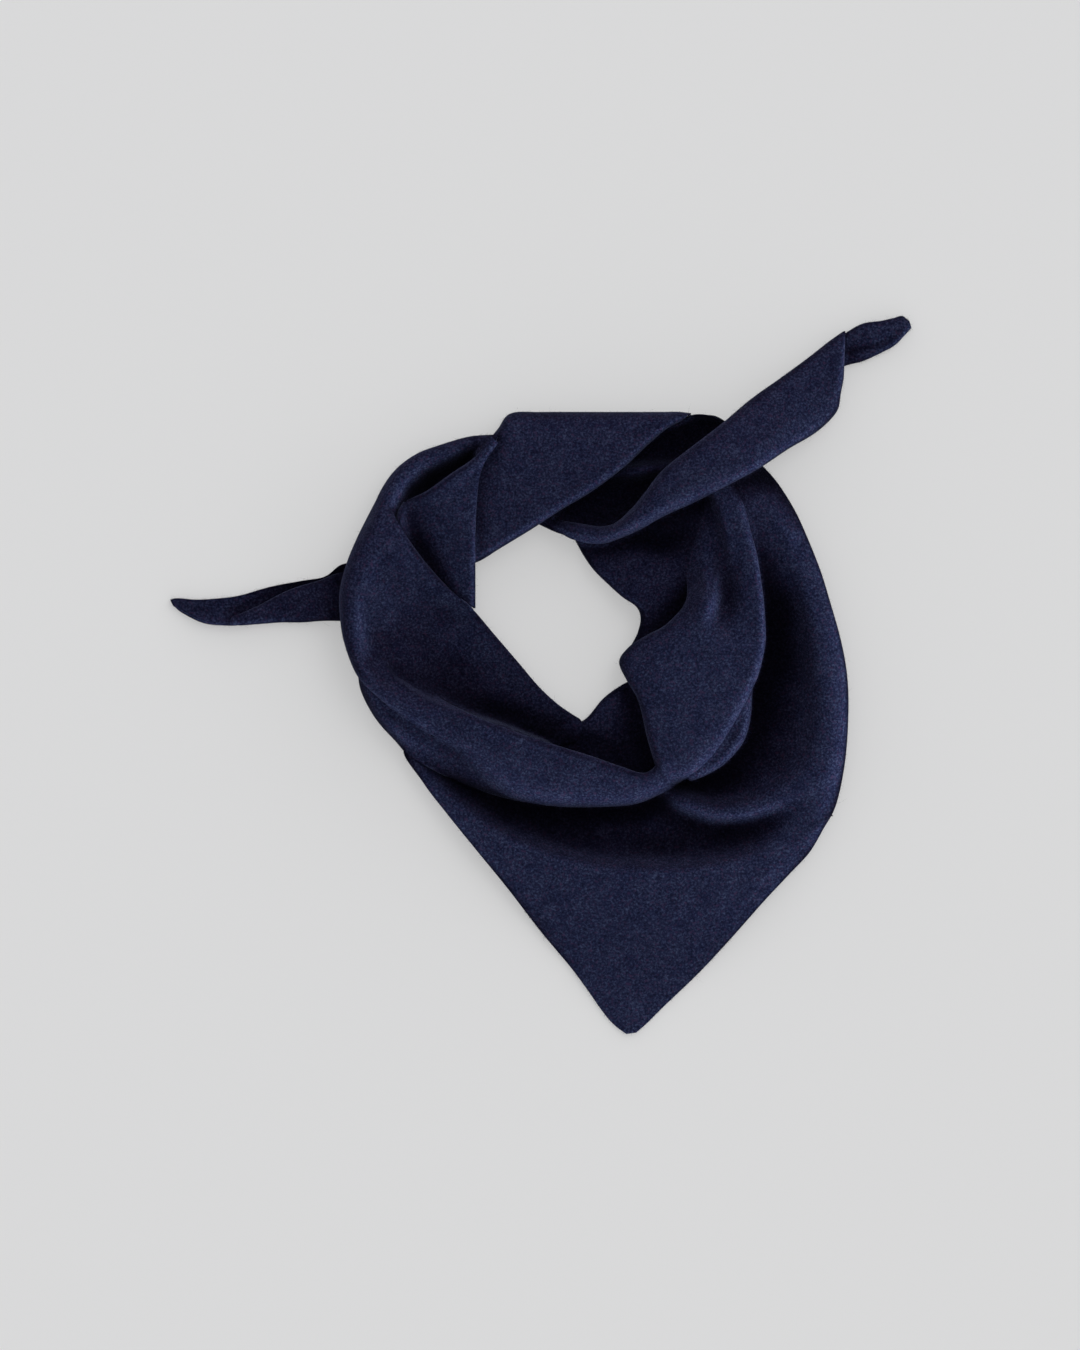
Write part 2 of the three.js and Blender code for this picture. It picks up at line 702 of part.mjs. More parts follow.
// A closed solid from the outer and the inner points of each section, and the triangles that close its two ends.
// The inner points are joined along the same diagonals as the outer ones, so that the wall keeps its thickness.
function solidFromSections(name, colour, sections, firstCap, lastCap) {
  const triangles = [...firstCap, ...lastCap.map(([a, b, c]) => [a, c, b])];
  for (let i = 0; i < sections.length - 1; i++) {
    const [from, to] = [sections[i], sections[i + 1]];
    const innerStrip = [];
    stitch(triangles, from.outer, to.outer);
    stitch(innerStrip, from.inner, to.inner);
    innerStrip.forEach(([a, b, c]) => triangles.push([a, c, b]));
    stitch(triangles, [from.inner[0], from.outer[0]], [to.inner[0], to.outer[0]]);
    stitch(triangles, [from.outer.at(-1), from.inner.at(-1)], [to.outer.at(-1), to.inner.at(-1)]);
  }
  const volume = triangles.reduce((sum, [a, b, c]) => sum + a.dot(new THREE.Vector3().crossVectors(b, c)), 0);
  const outward = volume < 0 ? triangles.map(([a, b, c]) => [a, c, b]) : triangles;
  const geometry = new THREE.BufferGeometry().setFromPoints(outward.flat());
  geometry.computeVertexNormals();
  const material = new THREE.MeshStandardMaterial({ color: colour, roughness: 0.95, metalness: 0 });
  const mesh = new THREE.Mesh(geometry, material);
  mesh.name = name;
  return mesh;
}

const sectionsOf = ({ along, sections }, makeSection) =>
  Array.from({ length: along + 1 }, (_, i) => makeSection(rowAt(sections, i / along)));

// Lays a stretch on the pile, and marks it there for the next ones.
function layStretch(stretch) {
  const sections = sectionsOf(stretch, (row) => wallSection(stretch, row));
  const tops = [];
  const undersides = [];
  for (let i = 0; i < sections.length - 1; i++) {
    stitch(tops, sections[i].outer, sections[i + 1].outer);
    stitch(undersides, sections[i].inner, sections[i + 1].inner);
  }
  tops.forEach((triangle) => pile.markTriangle(...triangle));
  if (stretch.underHidden) tops.forEach((triangle) => lowPile.markTriangle(...triangle));
  else undersides.forEach((triangle) => ceiling.markTriangle(...triangle));
  const [firstCap, lastCap] = [sections[0], sections[sections.length - 1]].map(({ outer, inner }) => {
    const triangles = [];
    stitch(triangles, inner, outer);
    return triangles;
  });
  return solidFromSections(stretch.name, stretch.colour, sections, firstCap, lastCap);
}

// One section of the hidden layers, from the cloth below to the cloth above, with a bulge at each layer's edge.
function hiddenSection(layers, row) {
  const width = Math.hypot(row.bx - row.ax, row.by - row.ay);
  const place = (d) => [row.ax + ((row.bx - row.ax) * d) / width, row.ay + ((row.by - row.ay) * d) / width];
  const low = [];
  const high = [];
  for (let i = 0; i <= layers.across; i++) {
    const d = (width * i) / layers.across;
    const [x, y] = place(d);
    const floor = restHeight(lowPile, x, y, layers.reach);
    const roof = ceiling.near(x, y, layers.reach) - coreClearance;
    low.push(new THREE.Vector3(x, y, floor));
    high.push(new THREE.Vector3(x, y, Math.max(floor + coreLeast, roof)));
  }
  const side = (end, outward) =>
    Array.from({ length: 2 * layerCount - 1 }, (_, i) => {
      const z = THREE.MathUtils.lerp(low[end].z, high[end].z, (i + 1) / (2 * layerCount));
      const [x, y] = place((width * end) / layers.across + (i % 2 ? 0 : outward));
      return new THREE.Vector3(x, y, z);
    });
  const [sideA, sideB] = [side(0, -layerBulge), side(layers.across, layerBulge)];
  return { low, high, sideA, sideB, inner: low, outer: [...sideA, ...high, ...[...sideB].reverse()] };
}

// The end of the hidden layers: each end cell is a fan round its own middle, because its side bulges.
function hiddenCap({ low, high, sideA, sideB }) {
  const triangles = [];
  const last = low.length - 1;
  const fan = (corners) => {
    const centre = corners.reduce((sum, corner) => sum.add(corner), new THREE.Vector3());
    centre.divideScalar(corners.length);
    corners.forEach((corner, i) => triangles.push([centre, corner, corners[(i + 1) % corners.length]]));
  };
  fan([low[1], low[0], ...sideA, high[0], high[1]]);
  stitch(triangles, low.slice(1, last), high.slice(1, last));
  fan([high[last - 1], high[last], ...[...sideB].reverse(), low[last], low[last - 1]]);
  return triangles;
}

function layHidden(layers) {
  const sections = sectionsOf(layers, (row) => hiddenSection(layers, row));
  const [firstCap, lastCap] = [sections[0], sections[sections.length - 1]].map(hiddenCap);
  return solidFromSections(layers.name, navyHidden, sections, firstCap, lastCap);
}

const bandana = new THREE.Group();
stretches.forEach((stretch) => bandana.add(layStretch(stretch)));
hiddenLayers.forEach((layers) => bandana.add(layHidden(layers)));

// The tables' origin is moved to the middle of the box.
const middle = new THREE.Box3().setFromObject(bandana).getCenter(new THREE.Vector3());
bandana.position.set(-middle.x, -middle.y, 0);

export default bandana;
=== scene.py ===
import math

import bpy
import numpy as np
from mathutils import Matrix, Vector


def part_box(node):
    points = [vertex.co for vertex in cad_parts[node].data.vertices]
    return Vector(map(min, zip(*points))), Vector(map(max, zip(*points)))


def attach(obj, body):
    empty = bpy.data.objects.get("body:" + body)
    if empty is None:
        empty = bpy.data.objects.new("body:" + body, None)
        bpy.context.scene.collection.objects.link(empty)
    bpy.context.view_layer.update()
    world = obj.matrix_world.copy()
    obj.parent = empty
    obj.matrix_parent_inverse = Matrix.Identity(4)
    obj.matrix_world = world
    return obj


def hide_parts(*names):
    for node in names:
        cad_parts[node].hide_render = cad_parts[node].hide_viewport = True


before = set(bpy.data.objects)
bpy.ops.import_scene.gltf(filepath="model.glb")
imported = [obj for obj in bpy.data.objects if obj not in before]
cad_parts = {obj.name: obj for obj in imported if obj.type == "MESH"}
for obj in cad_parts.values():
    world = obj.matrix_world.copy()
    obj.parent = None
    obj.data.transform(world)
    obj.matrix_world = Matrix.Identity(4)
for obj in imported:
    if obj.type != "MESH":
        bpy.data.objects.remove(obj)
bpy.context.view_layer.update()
print("frame loaded with", len(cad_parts), "solids")

# The cloth is laid in millimetres, as it was cut, and turned into metres when its mesh is made.
millimetre = 0.001
# The cut's own origin is moved to the middle of the frame's box.
tableShift = (
    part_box("left_tail_inner_face")[0].x / millimetre + 259,
    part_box("bib")[0].y / millimetre + 252,
)

cloth = {
    "thickness": 1.7,      # felted knit without its nap
    "gap": 0.35,           # air between two layers
    "clear": 3,            # a layer lifts over whatever is this near to it
    "alongStep": 2.6,      # spacing of the mesh along a stretch
    "acrossStep": 2.4,     # and across it
    "widestFold": 0.36,    # a folded edge takes at most this share of the width
    "hemRound": 0.9,       # radius of a cut edge that the felting has rounded
    "settle": 5,           # passes that ease the cloth over what it lies on
    "joinRise": 0.3,       # a joined edge runs this far over the cloth that it goes into
    "joinDip": 2.2,        # and ends this far inside it
    "joinReach": 6,        # over this width
    "bare": 0.05,          # less height than this counts as bare table
    "offTable": 0.1,       # the cloth's lower face stays this far above the table
    "backOffTable": 0.05,  # and its back where it is bent
    "leastFoot": 0.3,      # least drop of an edge that stands on what it lies on
    "foldAngles": (0, 14, 28, 42, 56, 72),
    "broadWaves": (14, 34, 0.34),  # number, size and height of the soft waves in the cloth
    "fineWaves": (18, 13, 0.13),
}

table = {"cell": 1.0, "half": 290.0, "openAbove": 60.0}  # the height map of everything laid so far


# Curves through a few given places.
def smoothAlong(rows, places):
    # Catmull-Rom curve through the rows, at places from 0 (first row) to 1 (last row).
    rows = np.asarray(rows, float)
    ends = np.vstack([2 * rows[0] - rows[1], rows, 2 * rows[-1] - rows[-2]])
    at = np.clip(places, 0, 1) * (len(rows) - 1)
    i = np.minimum(at.astype(int), len(rows) - 2)
    s = (at - i)[:, None]
    p0, p1, p2, p3 = ends[i], ends[i + 1], ends[i + 2], ends[i + 3]
    bend = s * (p2 - p0) + s**2 * (2 * p0 - 5 * p1 + 4 * p2 - p3) + s**3 * (3 * p1 - p0 - 3 * p2 + p3)
    return p1 + bend / 2


def smoothAcross(heights, share):
    # The same curve inside each section: heights has five columns, share is from 0 to 1.
    first = 2 * heights[:, :1] - heights[:, 1:2]
    last = 2 * heights[:, -1:] - heights[:, -2:-1]
    ends = np.hstack([first, heights, last])
    at = np.clip(share, 0, 1) * (heights.shape[1] - 1)
    i = np.minimum(at.astype(int), heights.shape[1] - 2)
    s = at - i
    p0, p1, p2, p3 = (np.take_along_axis(ends, i + k, axis=1) for k in range(4))
    bend = s * (p2 - p0) + s**2 * (2 * p0 - 5 * p1 + 4 * p2 - p3) + s**3 * (3 * p1 - p0 - 3 * p2 + p3)
    return p1 + bend / 2


def creaseLift(creases, x, y):
    # Each crease is a line of (x, y, height, spread to its left, spread to its right).
    lift = np.zeros_like(x)
    for crease in creases:
        line = smoothAlong(crease, np.linspace(0, 1, 41))
        best = np.full(x.shape, np.inf)
        here = np.zeros_like(x)
        for p, q in zip(line[:-1], line[1:]):
            run = q[:2] - p[:2]
            share = np.clip(((x - p[0]) * run[0] + (y - p[1]) * run[1]) / (run @ run), 0, 1)
            offX, offY = x - p[0] - share * run[0], y - p[1] - share * run[1]
            away = np.hypot(offX, offY)
            isLeft = run[0] * offY - run[1] * offX > 0
            height, left, right = (p[k] + share * (q[k] - p[k]) for k in (2, 3, 4))
            lifted = height * np.exp(-((away / np.where(isLeft, left, right)) ** 2))
            here = np.where(away < best, lifted, here)
            best = np.minimum(best, away)
        lift += here
    return lift


def unevenness(x, y, seed, waves, size, height):
    # Soft random waves, so that no stretch of cloth is quite even.
    draw = np.random.default_rng(seed)
    total = np.zeros_like(x)
    for _ in range(waves):
        angle, phase = draw.uniform(0, 2 * math.pi, 2)
        length = size * draw.uniform(0.6, 1.7)
        total += np.sin((x * math.cos(angle) + y * math.sin(angle)) * 2 * math.pi / length + phase)
    return height * total / math.sqrt(waves)


# The height map.
mapSide = int(2 * table["half"] / table["cell"]) + 1
pile = np.zeros((mapSide, mapSide))  # highest cloth so far
lowPile = np.zeros((mapSide, mapSide))  # highest cloth under the hidden layers
ceiling = np.full((mapSide, mapSide), table["openAbove"])  # lowest cloth over them


def widened(heights, radius):
    reach = int(round(radius / table["cell"]))
    highest = heights.copy()
    for i in range(-reach, reach + 1):
        for j in range(-reach, reach + 1):
            if 0 < i * i + j * j <= reach * reach:
                np.maximum(highest, np.roll(heights, (i, j), (0, 1)), out=highest)
    return highest


def heightAt(heights, x, y):
    u = np.clip((x + table["half"]) / table["cell"], 0, mapSide - 1.001)
    v = np.clip((y + table["half"]) / table["cell"], 0, mapSide - 1.001)
    i, j = u.astype(int), v.astype(int)
    s, t = u - i, v - j
    low = heights[j, i] * (1 - s) + heights[j, i + 1] * s
    high = heights[j + 1, i] * (1 - s) + heights[j + 1, i + 1] * s
    return low * (1 - t) + high * t


def finer(grid, times):
    # The same grid with points added between its own.
    for axis in (0, 1):
        count = grid.shape[axis]
        at = np.linspace(0, count - 1, (count - 1) * times + 1)
        i = np.minimum(at.astype(int), count - 2)
        s = (at - i).reshape((-1, 1) if axis == 0 else (1, -1))
        grid = np.take(grid, i, axis) * (1 - s) + np.take(grid, i + 1, axis) * s
    return grid


def markOnPile(x, y, z, isLow):
    fineX, fineY, fineZ = (finer(grid, 4) for grid in (x, y, z))
    i = np.rint((fineX + table["half"]) / table["cell"]).astype(int)
    j = np.rint((fineY + table["half"]) / table["cell"]).astype(int)
    np.maximum.at(pile, (j, i), fineZ)
    if isLow:
        np.maximum.at(lowPile, (j, i), fineZ)
    else:
        np.minimum.at(ceiling, (j, i), fineZ - cloth["thickness"])


def eased(grid, passes):
    # Averages each point with its neighbours, the ends kept.
    for _ in range(passes):
        padded = np.pad(grid, 1, mode="edge")
        grid = (
            2 * grid + padded[2:, 1:-1] + padded[:-2, 1:-1] + padded[1:-1, 2:] + padded[1:-1, :-2]
        ) / 6
    return grid


# Laying one stretch.
laid = []  # every stretch, in the order in which it was laid
lowNodes = ("bib", "left_tail_inner_face", "left_tail", "left_under_layer")  # these go under the hidden layers


def foldEdge(width, radius, angles):
    # Insets and drops of a folded edge's round, from its outermost point inwards.
    turn = np.radians(angles)[None, :]
    return radius * (1 - np.cos(turn)), radius * (1 - np.sin(turn))


def eases(share):
    share = np.clip(share, 0, 1)
    return share * share * (3 - 2 * share)


def joinedEdges(cut, x, y, z, share, alongShare, length, width):
    # Each row of "joined" says how far the first edge, the middle and the second edge become one with the cloth
    # below: they run just over it, and their ends go inside it.
    # The rows that aren't given lie free.
    rows = cut["joined"] + [(0, 0, 0)] * (len(cut["sections"]) - len(cut["joined"]))
    first, middle, second = smoothAlong(rows, alongShare).clip(0, 1).T[..., None]
    toSecond = share > 0.5
    near, far = np.where(toSecond, middle, first), np.where(toSecond, second, middle)
    amount = near + (far - near) * eases(2 * share - toSecond)
    edge = np.minimum(share, 1 - share) * width
    end = np.minimum(alongShare, 1 - alongShare)[:, None] * length
    inside = eases(1 - np.minimum(edge, end) / cloth["joinReach"])
    over = heightAt(eased(pile, 3), x, y) + cloth["joinRise"] - cloth["joinDip"] * inside
    return z * (1 - amount) + over * amount


def layCloth(cut):
    sections = np.asarray(cut["sections"], float)
    middle = (sections[:, :2] + sections[:, 2:4]) / 2
    longest = max(
        np.hypot(*np.diff(side, axis=0).T).sum() for side in (sections[:, :2], sections[:, 2:4], middle)
    )
    alongCount = int(longest / cloth["alongStep"]) + 2
    rows = smoothAlong(sections, np.linspace(0, 1, alongCount))
    width = np.hypot(rows[:, 2] - rows[:, 0], rows[:, 3] - rows[:, 1])[:, None]
    acrossCount = int(width.max() / cloth["acrossStep"]) + 4
    roundA, roundB = (
        np.minimum(max(radius, cloth["hemRound"]), width * cloth["widestFold"]) for radius in cut["edges"]
    )
    insetA, dropA = foldEdge(width, roundA, cloth["foldAngles"])
    insetB, dropB = foldEdge(width, roundB, cloth["foldAngles"])
    inside = roundA + (width - roundA - roundB) * np.linspace(0, 1, acrossCount)[None, :]
    along = np.hstack([insetA, inside, (width - insetB)[:, ::-1]])
    drop = np.hstack([dropA, np.zeros_like(inside), dropB[:, ::-1]])

    share = along / width
    x = rows[:, :1] + (rows[:, 2:3] - rows[:, :1]) * share
    y = rows[:, 1:2] + (rows[:, 3:4] - rows[:, 1:2]) * share
    wanted = smoothAcross(rows[:, 4:9], share) + creaseLift(cut.get("ridges", []), x, y) - drop
    calm = cut.get("calm", 1.0)
    for waveSet, seedShift in (("broadWaves", 0), ("fineWaves", 50)):
        waves, size, height = cloth[waveSet]
        wanted = wanted + unevenness(x, y, len(cut["name"]) + seedShift, waves, size, height * calm)

    below = heightAt(widened(pile, cloth["clear"]), x, y)
    rest = np.where(below > cloth["bare"], below + cloth["gap"], 0)
    lift = np.maximum(0, rest + cloth["thickness"] - wanted)
    z = wanted + np.maximum(lift, eased(lift, cloth["settle"]))
    if "joined" in cut:
        z = joinedEdges(cut, x, y, z, share, np.linspace(0, 1, alongCount), longest, width)
        z = np.maximum(z, cloth["thickness"] + cloth["offTable"])

    footRest = heightAt(pile, x, y)
    footRest = np.where(footRest > cloth["bare"], footRest + cloth["gap"], 0)
    deepest = cut.get("deepest", 99)
    feet = [np.maximum(footRest[:, k], z[:, k] - deepest) for k in (0, -1)]
    feet = [np.minimum(foot, z[:, k] - cloth["leastFoot"]) for foot, k in zip(feet, (0, -1))]
    x, y = (np.hstack([grid[:, :1], grid, grid[:, -1:]]) for grid in (x, y))
    z = np.hstack([feet[0][:, None], z, feet[1][:, None]])
    markOnPile(x, y, z, cut["node"] in lowNodes)

    piece = makeShell(cut["name"], x, y, z)
    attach(piece, "root")
    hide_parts(cut["node"])
    laid.append({"cut": cut, "piece": piece, "x": x, "y": y, "z": z})
    print("laid", cut["name"], z.shape)


def makeShell(name, x, y, z):
    # The cloth's face, and its back one thickness inside it, which stays above the table.
    face = np.stack([x + tableShift[0], y + tableShift[1], z], axis=-1)
    outward = np.cross(np.gradient(face, axis=1), np.gradient(face, axis=0))
    outward /= np.maximum(np.linalg.norm(outward, axis=-1, keepdims=True), 1e-9)
    isUpward = outward[..., 2].sum() > 0
    back = face - outward * cloth["thickness"] * (1 if isUpward else -1)
    back[..., 2] = np.maximum(back[..., 2], cloth["backOffTable"])
    corner = np.arange(z.size).reshape(z.shape)
    faces = np.stack([corner[:-1, :-1], corner[:-1, 1:], corner[1:, 1:], corner[1:, :-1]], axis=-1).reshape(-1, 4)
    rim = np.concatenate([corner[0], corner[1:, -1], corner[-1, -2::-1], corner[-2:0:-1, 0]])
    rimNext = np.roll(rim, -1)
    edges = np.stack([rimNext, rim, rim + z.size, rimNext + z.size], axis=-1)
    faces = np.concatenate([faces, faces[:, ::-1] + z.size, edges])
    if not isUpward:
        faces = faces[:, ::-1]
    places = np.concatenate([face.reshape(-1, 3), back.reshape(-1, 3)]) * millimetre
    mesh = bpy.data.meshes.new(name)
    mesh.from_pydata(places.tolist(), [], faces.tolist())
    mesh.polygons.foreach_set("use_smooth", [True] * len(mesh.polygons))
    mesh.update()
    piece = bpy.data.objects.new(name, mesh)
    bpy.context.scene.collection.objects.link(piece)
    return piece


# The stretches, from the lowest to the highest.
# A section is (first end x, y, second end x, y, then the height at five places from the first to the second).

bibCloth = {
    "name": "bibCloth",
    "node": "bib",
    "slot": "wool_outer",
    "shade": 1.12,
    "edges": (0, 0),
    "sections": [
        (60, -252, 67, -251, 2, 2, 2, 2, 2),
        (52, -246, 75, -244, 2, 2, 2, 2, 2),
        (44, -237, 86, -233, 2, 2, 2, 2, 2),
        (24, -209, 111, -209, 2, 2, 2, 2, 2),
        (0, -180, 135, -183, 2, 2, 2, 2, 2),
        (-23, -150, 157, -158, 2, 2, 2, 2, 2),
        (-45, -123, 174, -140, 2, 2, 2, 2, 2),
        (-66, -97, 188, -125, 2, 2, 2, 2, 2),
        (-82, -76, 198, -108, 2, 2, 2, 2, 2),
        (-95, -52, 205, -96, 2, 2, 2, 2, 2),
        (-56, -55, 209, -83, 2, 2, 2, 2, 2),
        (-14, -58, 212, -67, 2, 2, 2, 2, 2),
        (35, -59, 214, -50, 2, 2, 2, 2, 2),
        (77, -56, 215, -31, 2, 2, 2, 2, 2),
        (106, -48, 215, -11, 2, 2, 2, 2, 2),
        (127, -36, 213, 8, 2, 2, 2, 2, 2),
        (137, -22, 209, 27, 2, 2, 2, 2, 2),
        (142, -1, 203, 48, 2, 2, 2, 2, 2),
        (145, 27, 196, 71, 3, 3, 3, 2, 2),
        (142, 55, 187, 94, 11, 11, 10, 5, 2),
        (138, 80, 178, 114, 19, 18, 15, 8, 2),
        (131, 104, 167, 132, 23, 22, 18, 9, 2),
        (124, 125, 157, 144, 24, 22, 18, 9, 2),
        (118, 141, 147, 153, 21, 18, 13, 6, 2),
        (113, 155, 139, 162, 4, 3, 3, 2, 2),
    ],
    "ridges": [
        # The soft roll along the right side.
        [
            (150, 137, 3, 12, 8),
            (169, 108, 10, 22, 12),
            (182, 73, 14, 26, 14),
            (194, 31, 17, 21, 15),
            (199, -11, 19, 21, 16),
            (199, -50, 18, 20, 19),
            (194, -81, 14, 17, 24),
            (183, -108, 8, 14, 26),
            (168, -129, 2, 12, 26),
        ],
        # The puff under the front right corner of the ring.
        [
            (88, -83, 8, 8, 6),
            (101, -90, 13, 9, 6),
            (123, -97, 14, 10, 6),
            (150, -93, 13, 11, 8),
            (172, -80, 9, 12, 10),
            (190, -62, 3, 12, 12),
        ],
        # The low swell across the chest.
        [
            (-90, -58, 8, 8, 10),
            (-66, -86, 10, 9, 16),
            (-30, -113, 13, 9, 28),
            (14, -131, 15, 10, 40),
            (58, -139, 17, 11, 46),
            (108, -139, 17, 11, 46),
            (150, -130, 12, 11, 38),
            (178, -114, 4, 11, 26),
        ],
    ],
}
layCloth(bibCloth)

leftTailInnerFaceCloth = {
    "name": "leftTailInnerFaceCloth",
    "node": "left_tail_inner_face",
    "slot": "wool_inner",
    "shade": 0.85,
    "edges": (0, 0),
    "sections": [
        (-259, 52, -257, 47.5, 3, 3, 3, 3, 3),
        (-254, 53, -249, 42.5, 4, 3, 2.5, 3, 5),
        (-240, 52, -236, 36, 4, 3, 2.2, 3, 6),
        (-224, 53, -223, 34, 4, 3, 2.2, 3, 6),
        (-210, 55, -208, 35, 4, 3, 2.2, 3, 4),
        (-189, 61, -188, 46, 4, 3, 2.5, 2.2, 2),
        (-168, 65, -168, 52, 4, 3, 2.5, 2.2, 2),
        (-151, 68, -150, 57, 8, 7, 6, 5, 4),
        (-140, 76, -137, 59, 12, 11, 9, 8, 8),
        (-130, 78, -127, 59, 14, 13, 12, 11, 10),
    ],
}
layCloth(leftTailInnerFaceCloth)

leftTailCloth = {
    "name": "leftTailCloth",
    "node": "left_tail",
    "slot": "wool_outer",
    "shade": 0.68,
    "edges": (3, 3),
    "sections": [
        (-216, 40, -218, 34, 6, 6, 6, 6, 6),
        (-207, 43.5, -208, 34, 7, 7, 7, 7, 7),
        (-195, 49, -195, 35, 8, 8, 8, 8, 7),
        (-182, 56, -181, 36, 9, 9, 8, 8, 7),
        (-170, 61, -167, 36, 9, 9, 8, 8, 7),
        (-156, 65, -153, 37, 12, 11, 11, 11, 11),
        (-143, 70, -140, 37, 15, 15, 15, 15, 14),
        (-129, 73, -128, 36, 17, 17, 17, 17, 16),
    ],
}
layCloth(leftTailCloth)

leftUnderLayerCloth = {
    "name": "leftUnderLayerCloth",
    "node": "left_under_layer",
    "slot": "wool_inner",
    "edges": (5, 0),
    "sections": [
        (-128, 4, -112, 8, 14, 17, 18, 18, 18),
        (-125.5, -12, -106, -2, 14, 19, 20, 20, 20),
        (-115.5, -31, -94, -12, 14, 20, 21, 21, 21),
        (-101.5, -47, -80, -20, 12, 20, 22, 22, 22),
        (-91.5, -57, -66, -26, 10, 18, 21, 23, 24),
        (-70, -69, -50, -32, 8, 16, 21, 24, 26),
        (-44, -81, -30, -38, 8, 17, 23, 26, 28),
        (-18, -88.5, -14, -44, 8, 17, 23, 27, 28),
        (3, -91, 3, -50, 8, 17, 23, 27, 28),
    ],
}
layCloth(leftUnderLayerCloth)

slitBackCloth = {
    "name": "slitBackCloth",
    "node": "slit_back",
    "slot": "wool_inner",
    "least": 0.12,
    "edges": (3.5, 3.5),
    "sections": [
        (-6, 115, -2, 105, 8, 8, 9, 9, 9),
        (5, 122, 14, 98, 7, 7, 9, 12, 14),
        (21, 130, 30, 95, 5, 4, 4, 8, 12),
        (40, 140, 54, 99, 5, 3, 3, 4, 9),
        (59, 155, 78, 116, 6, 4, 3, 4, 8),
        (75, 170, 99, 134, 7, 4, 3, 3, 6),
        (92, 176, 116, 150, 10, 5, 3, 4, 7),
        (106, 181, 127, 160, 14, 6, 4, 5, 8),
        (116, 181, 134, 167, 14, 9, 6, 7, 8),
        (122.5, 179.3, 137.8, 170.4, 13, 11, 9, 9, 9),
        (124, 178.3, 138.6, 169.3, 2, 2, 2, 2, 2),
    ],
    "ridges": [
        [
            (50, 139, 7, 5, 5),
            (68, 142, 16, 6, 6),
            (90, 144, 15, 6, 6),
        ],
    ],
}
layCloth(slitBackCloth)

topWrapCloth = {
    "name": "topWrapCloth",
    "node": "top_wrap",
    "slot": "wool_outer",
    "shade": 0.88,
    "edges": (8, 4),
    "sections": [
        (-41, 158, -61, 76, 14, 17, 16, 15, 14),
        (-30, 171, -45, 78, 18, 20, 19, 18, 16),
        (-21, 182, -28, 88, 19, 23, 23, 21, 19),
        (0, 183, -5, 102, 19, 24, 25, 24, 21),
        (28, 183, 15, 115, 20, 25, 26, 25, 22),
        (54, 183, 35, 127, 20, 25, 26, 26, 23),
        (71, 183, 58, 144, 20, 24, 25, 26, 23),
        (84, 183, 75, 160, 20, 22, 23, 24, 22),
        (96, 183, 88, 171, 20, 21, 22, 22, 21),
        (105, 182, 99, 177, 20, 20, 20, 20, 20),
    ],
}
layCloth(topWrapCloth)

cornerPanelCloth = {
    "name": "cornerPanelCloth",
    "node": "corner_panel",
    "slot": "wool_inner",
    "least": 0.14,
    "edges": (3.5, 0),
    "sections": [
        (18, -38, 8, -53, 7, 7, 7, 7, 7),
        (32, -31, 30, -60, 9, 8, 7, 7, 7),
        (44, -17, 50, -66, 10, 9, 8, 7, 7),
        (58, -7, 70, -73, 11, 10, 9, 8, 7),
        (70, -2, 86, -72, 12, 11, 10, 9, 8),
    ],
}
layCloth(cornerPanelCloth)

rightInnerPanelCloth = {
    "name": "rightInnerPanelCloth",
    "node": "right_inner_panel",
    "slot": "wool_inner",
    "shade": 0.66,
    "edges": (3.5, 0),
    "sections": [
        (24, 94, 112, 142, 9, 10, 12, 15, 18),
        (30, 83, 132, 120, 9, 10, 11, 15, 19),
        (37, 73, 138, 98, 10, 13, 12, 14, 19),
        (46, 64, 136, 74, 11, 15, 15, 13, 17),
        (57, 54, 124, 52, 13, 16, 14, 11, 12),
        (67, 47, 112, 38, 14, 14, 12, 11, 11),
        (70, 39, 100, 26, 13, 13, 12, 11, 11),
        (68, 29, 88, 17, 12, 12, 12, 12, 12),
        (64, 21, 79, 11, 11, 11, 11, 11, 11),
    ],
    "ridges": [
        # The hollow under the tail.
        [
            (66, 96, -2, 8, 8),
            (82, 90, -5, 9, 8),
            (98, 94, -4, 9, 8),
            (112, 102, 0, 9, 8),
        ],
    ],
}
layCloth(rightInnerPanelCloth)

leftArchCloth = {
    "name": "leftArchCloth",
    "node": "left_arch",
    "slot": "wool_outer",
    "edges": (8, 0),
    "sections": [
        (-29, 167, -35, 158, 18, 17, 16, 14, 12),
        (-49, 166, -45, 140, 20, 16, 6, 3, 2),
        (-70, 160, -58, 128, 21, 18, 6, 2, 2),
        (-86, 154, -70, 120, 21, 19, 7, 2, 2),
        (-100, 144, -80, 112, 21, 21, 10, 3, 2),
        (-110, 131, -87, 106, 21, 24, 17, 8, 5),
        (-117, 116, -92, 100, 22, 26, 24, 18, 12),
        (-123, 100, -98, 94, 21, 26, 26, 24, 18),
    ],
}
layCloth(leftArchCloth)

leftFlapCloth = {
    "name": "leftFlapCloth",
    "node": "left_flap",
    "slot": "wool_outer",
    "edges": (3.5, 3.5),
    "sections": [
        (-35, 166, -29.5, 161, 22, 22, 22, 22, 22),
        (-45, 152, -38, 149, 24, 24, 24, 23, 22),
        (-62, 140, -42, 139, 24, 25, 24, 22, 22),
        (-79, 128, -44, 125, 22, 24, 23, 22, 23),
        (-96, 118, -45, 108, 16, 18, 20, 22, 23),
        (-99, 99, -45.5, 91, 13, 14, 17, 20, 22),
        (-89, 80, -45.5, 77, 10, 12, 15, 18, 21),
        (-75, 64, -45.5, 60, 9, 11, 13, 15, 17),
        (-62, 51, -45.5, 46, 9, 10, 11, 12, 13),
    ],
}
layCloth(leftFlapCloth)

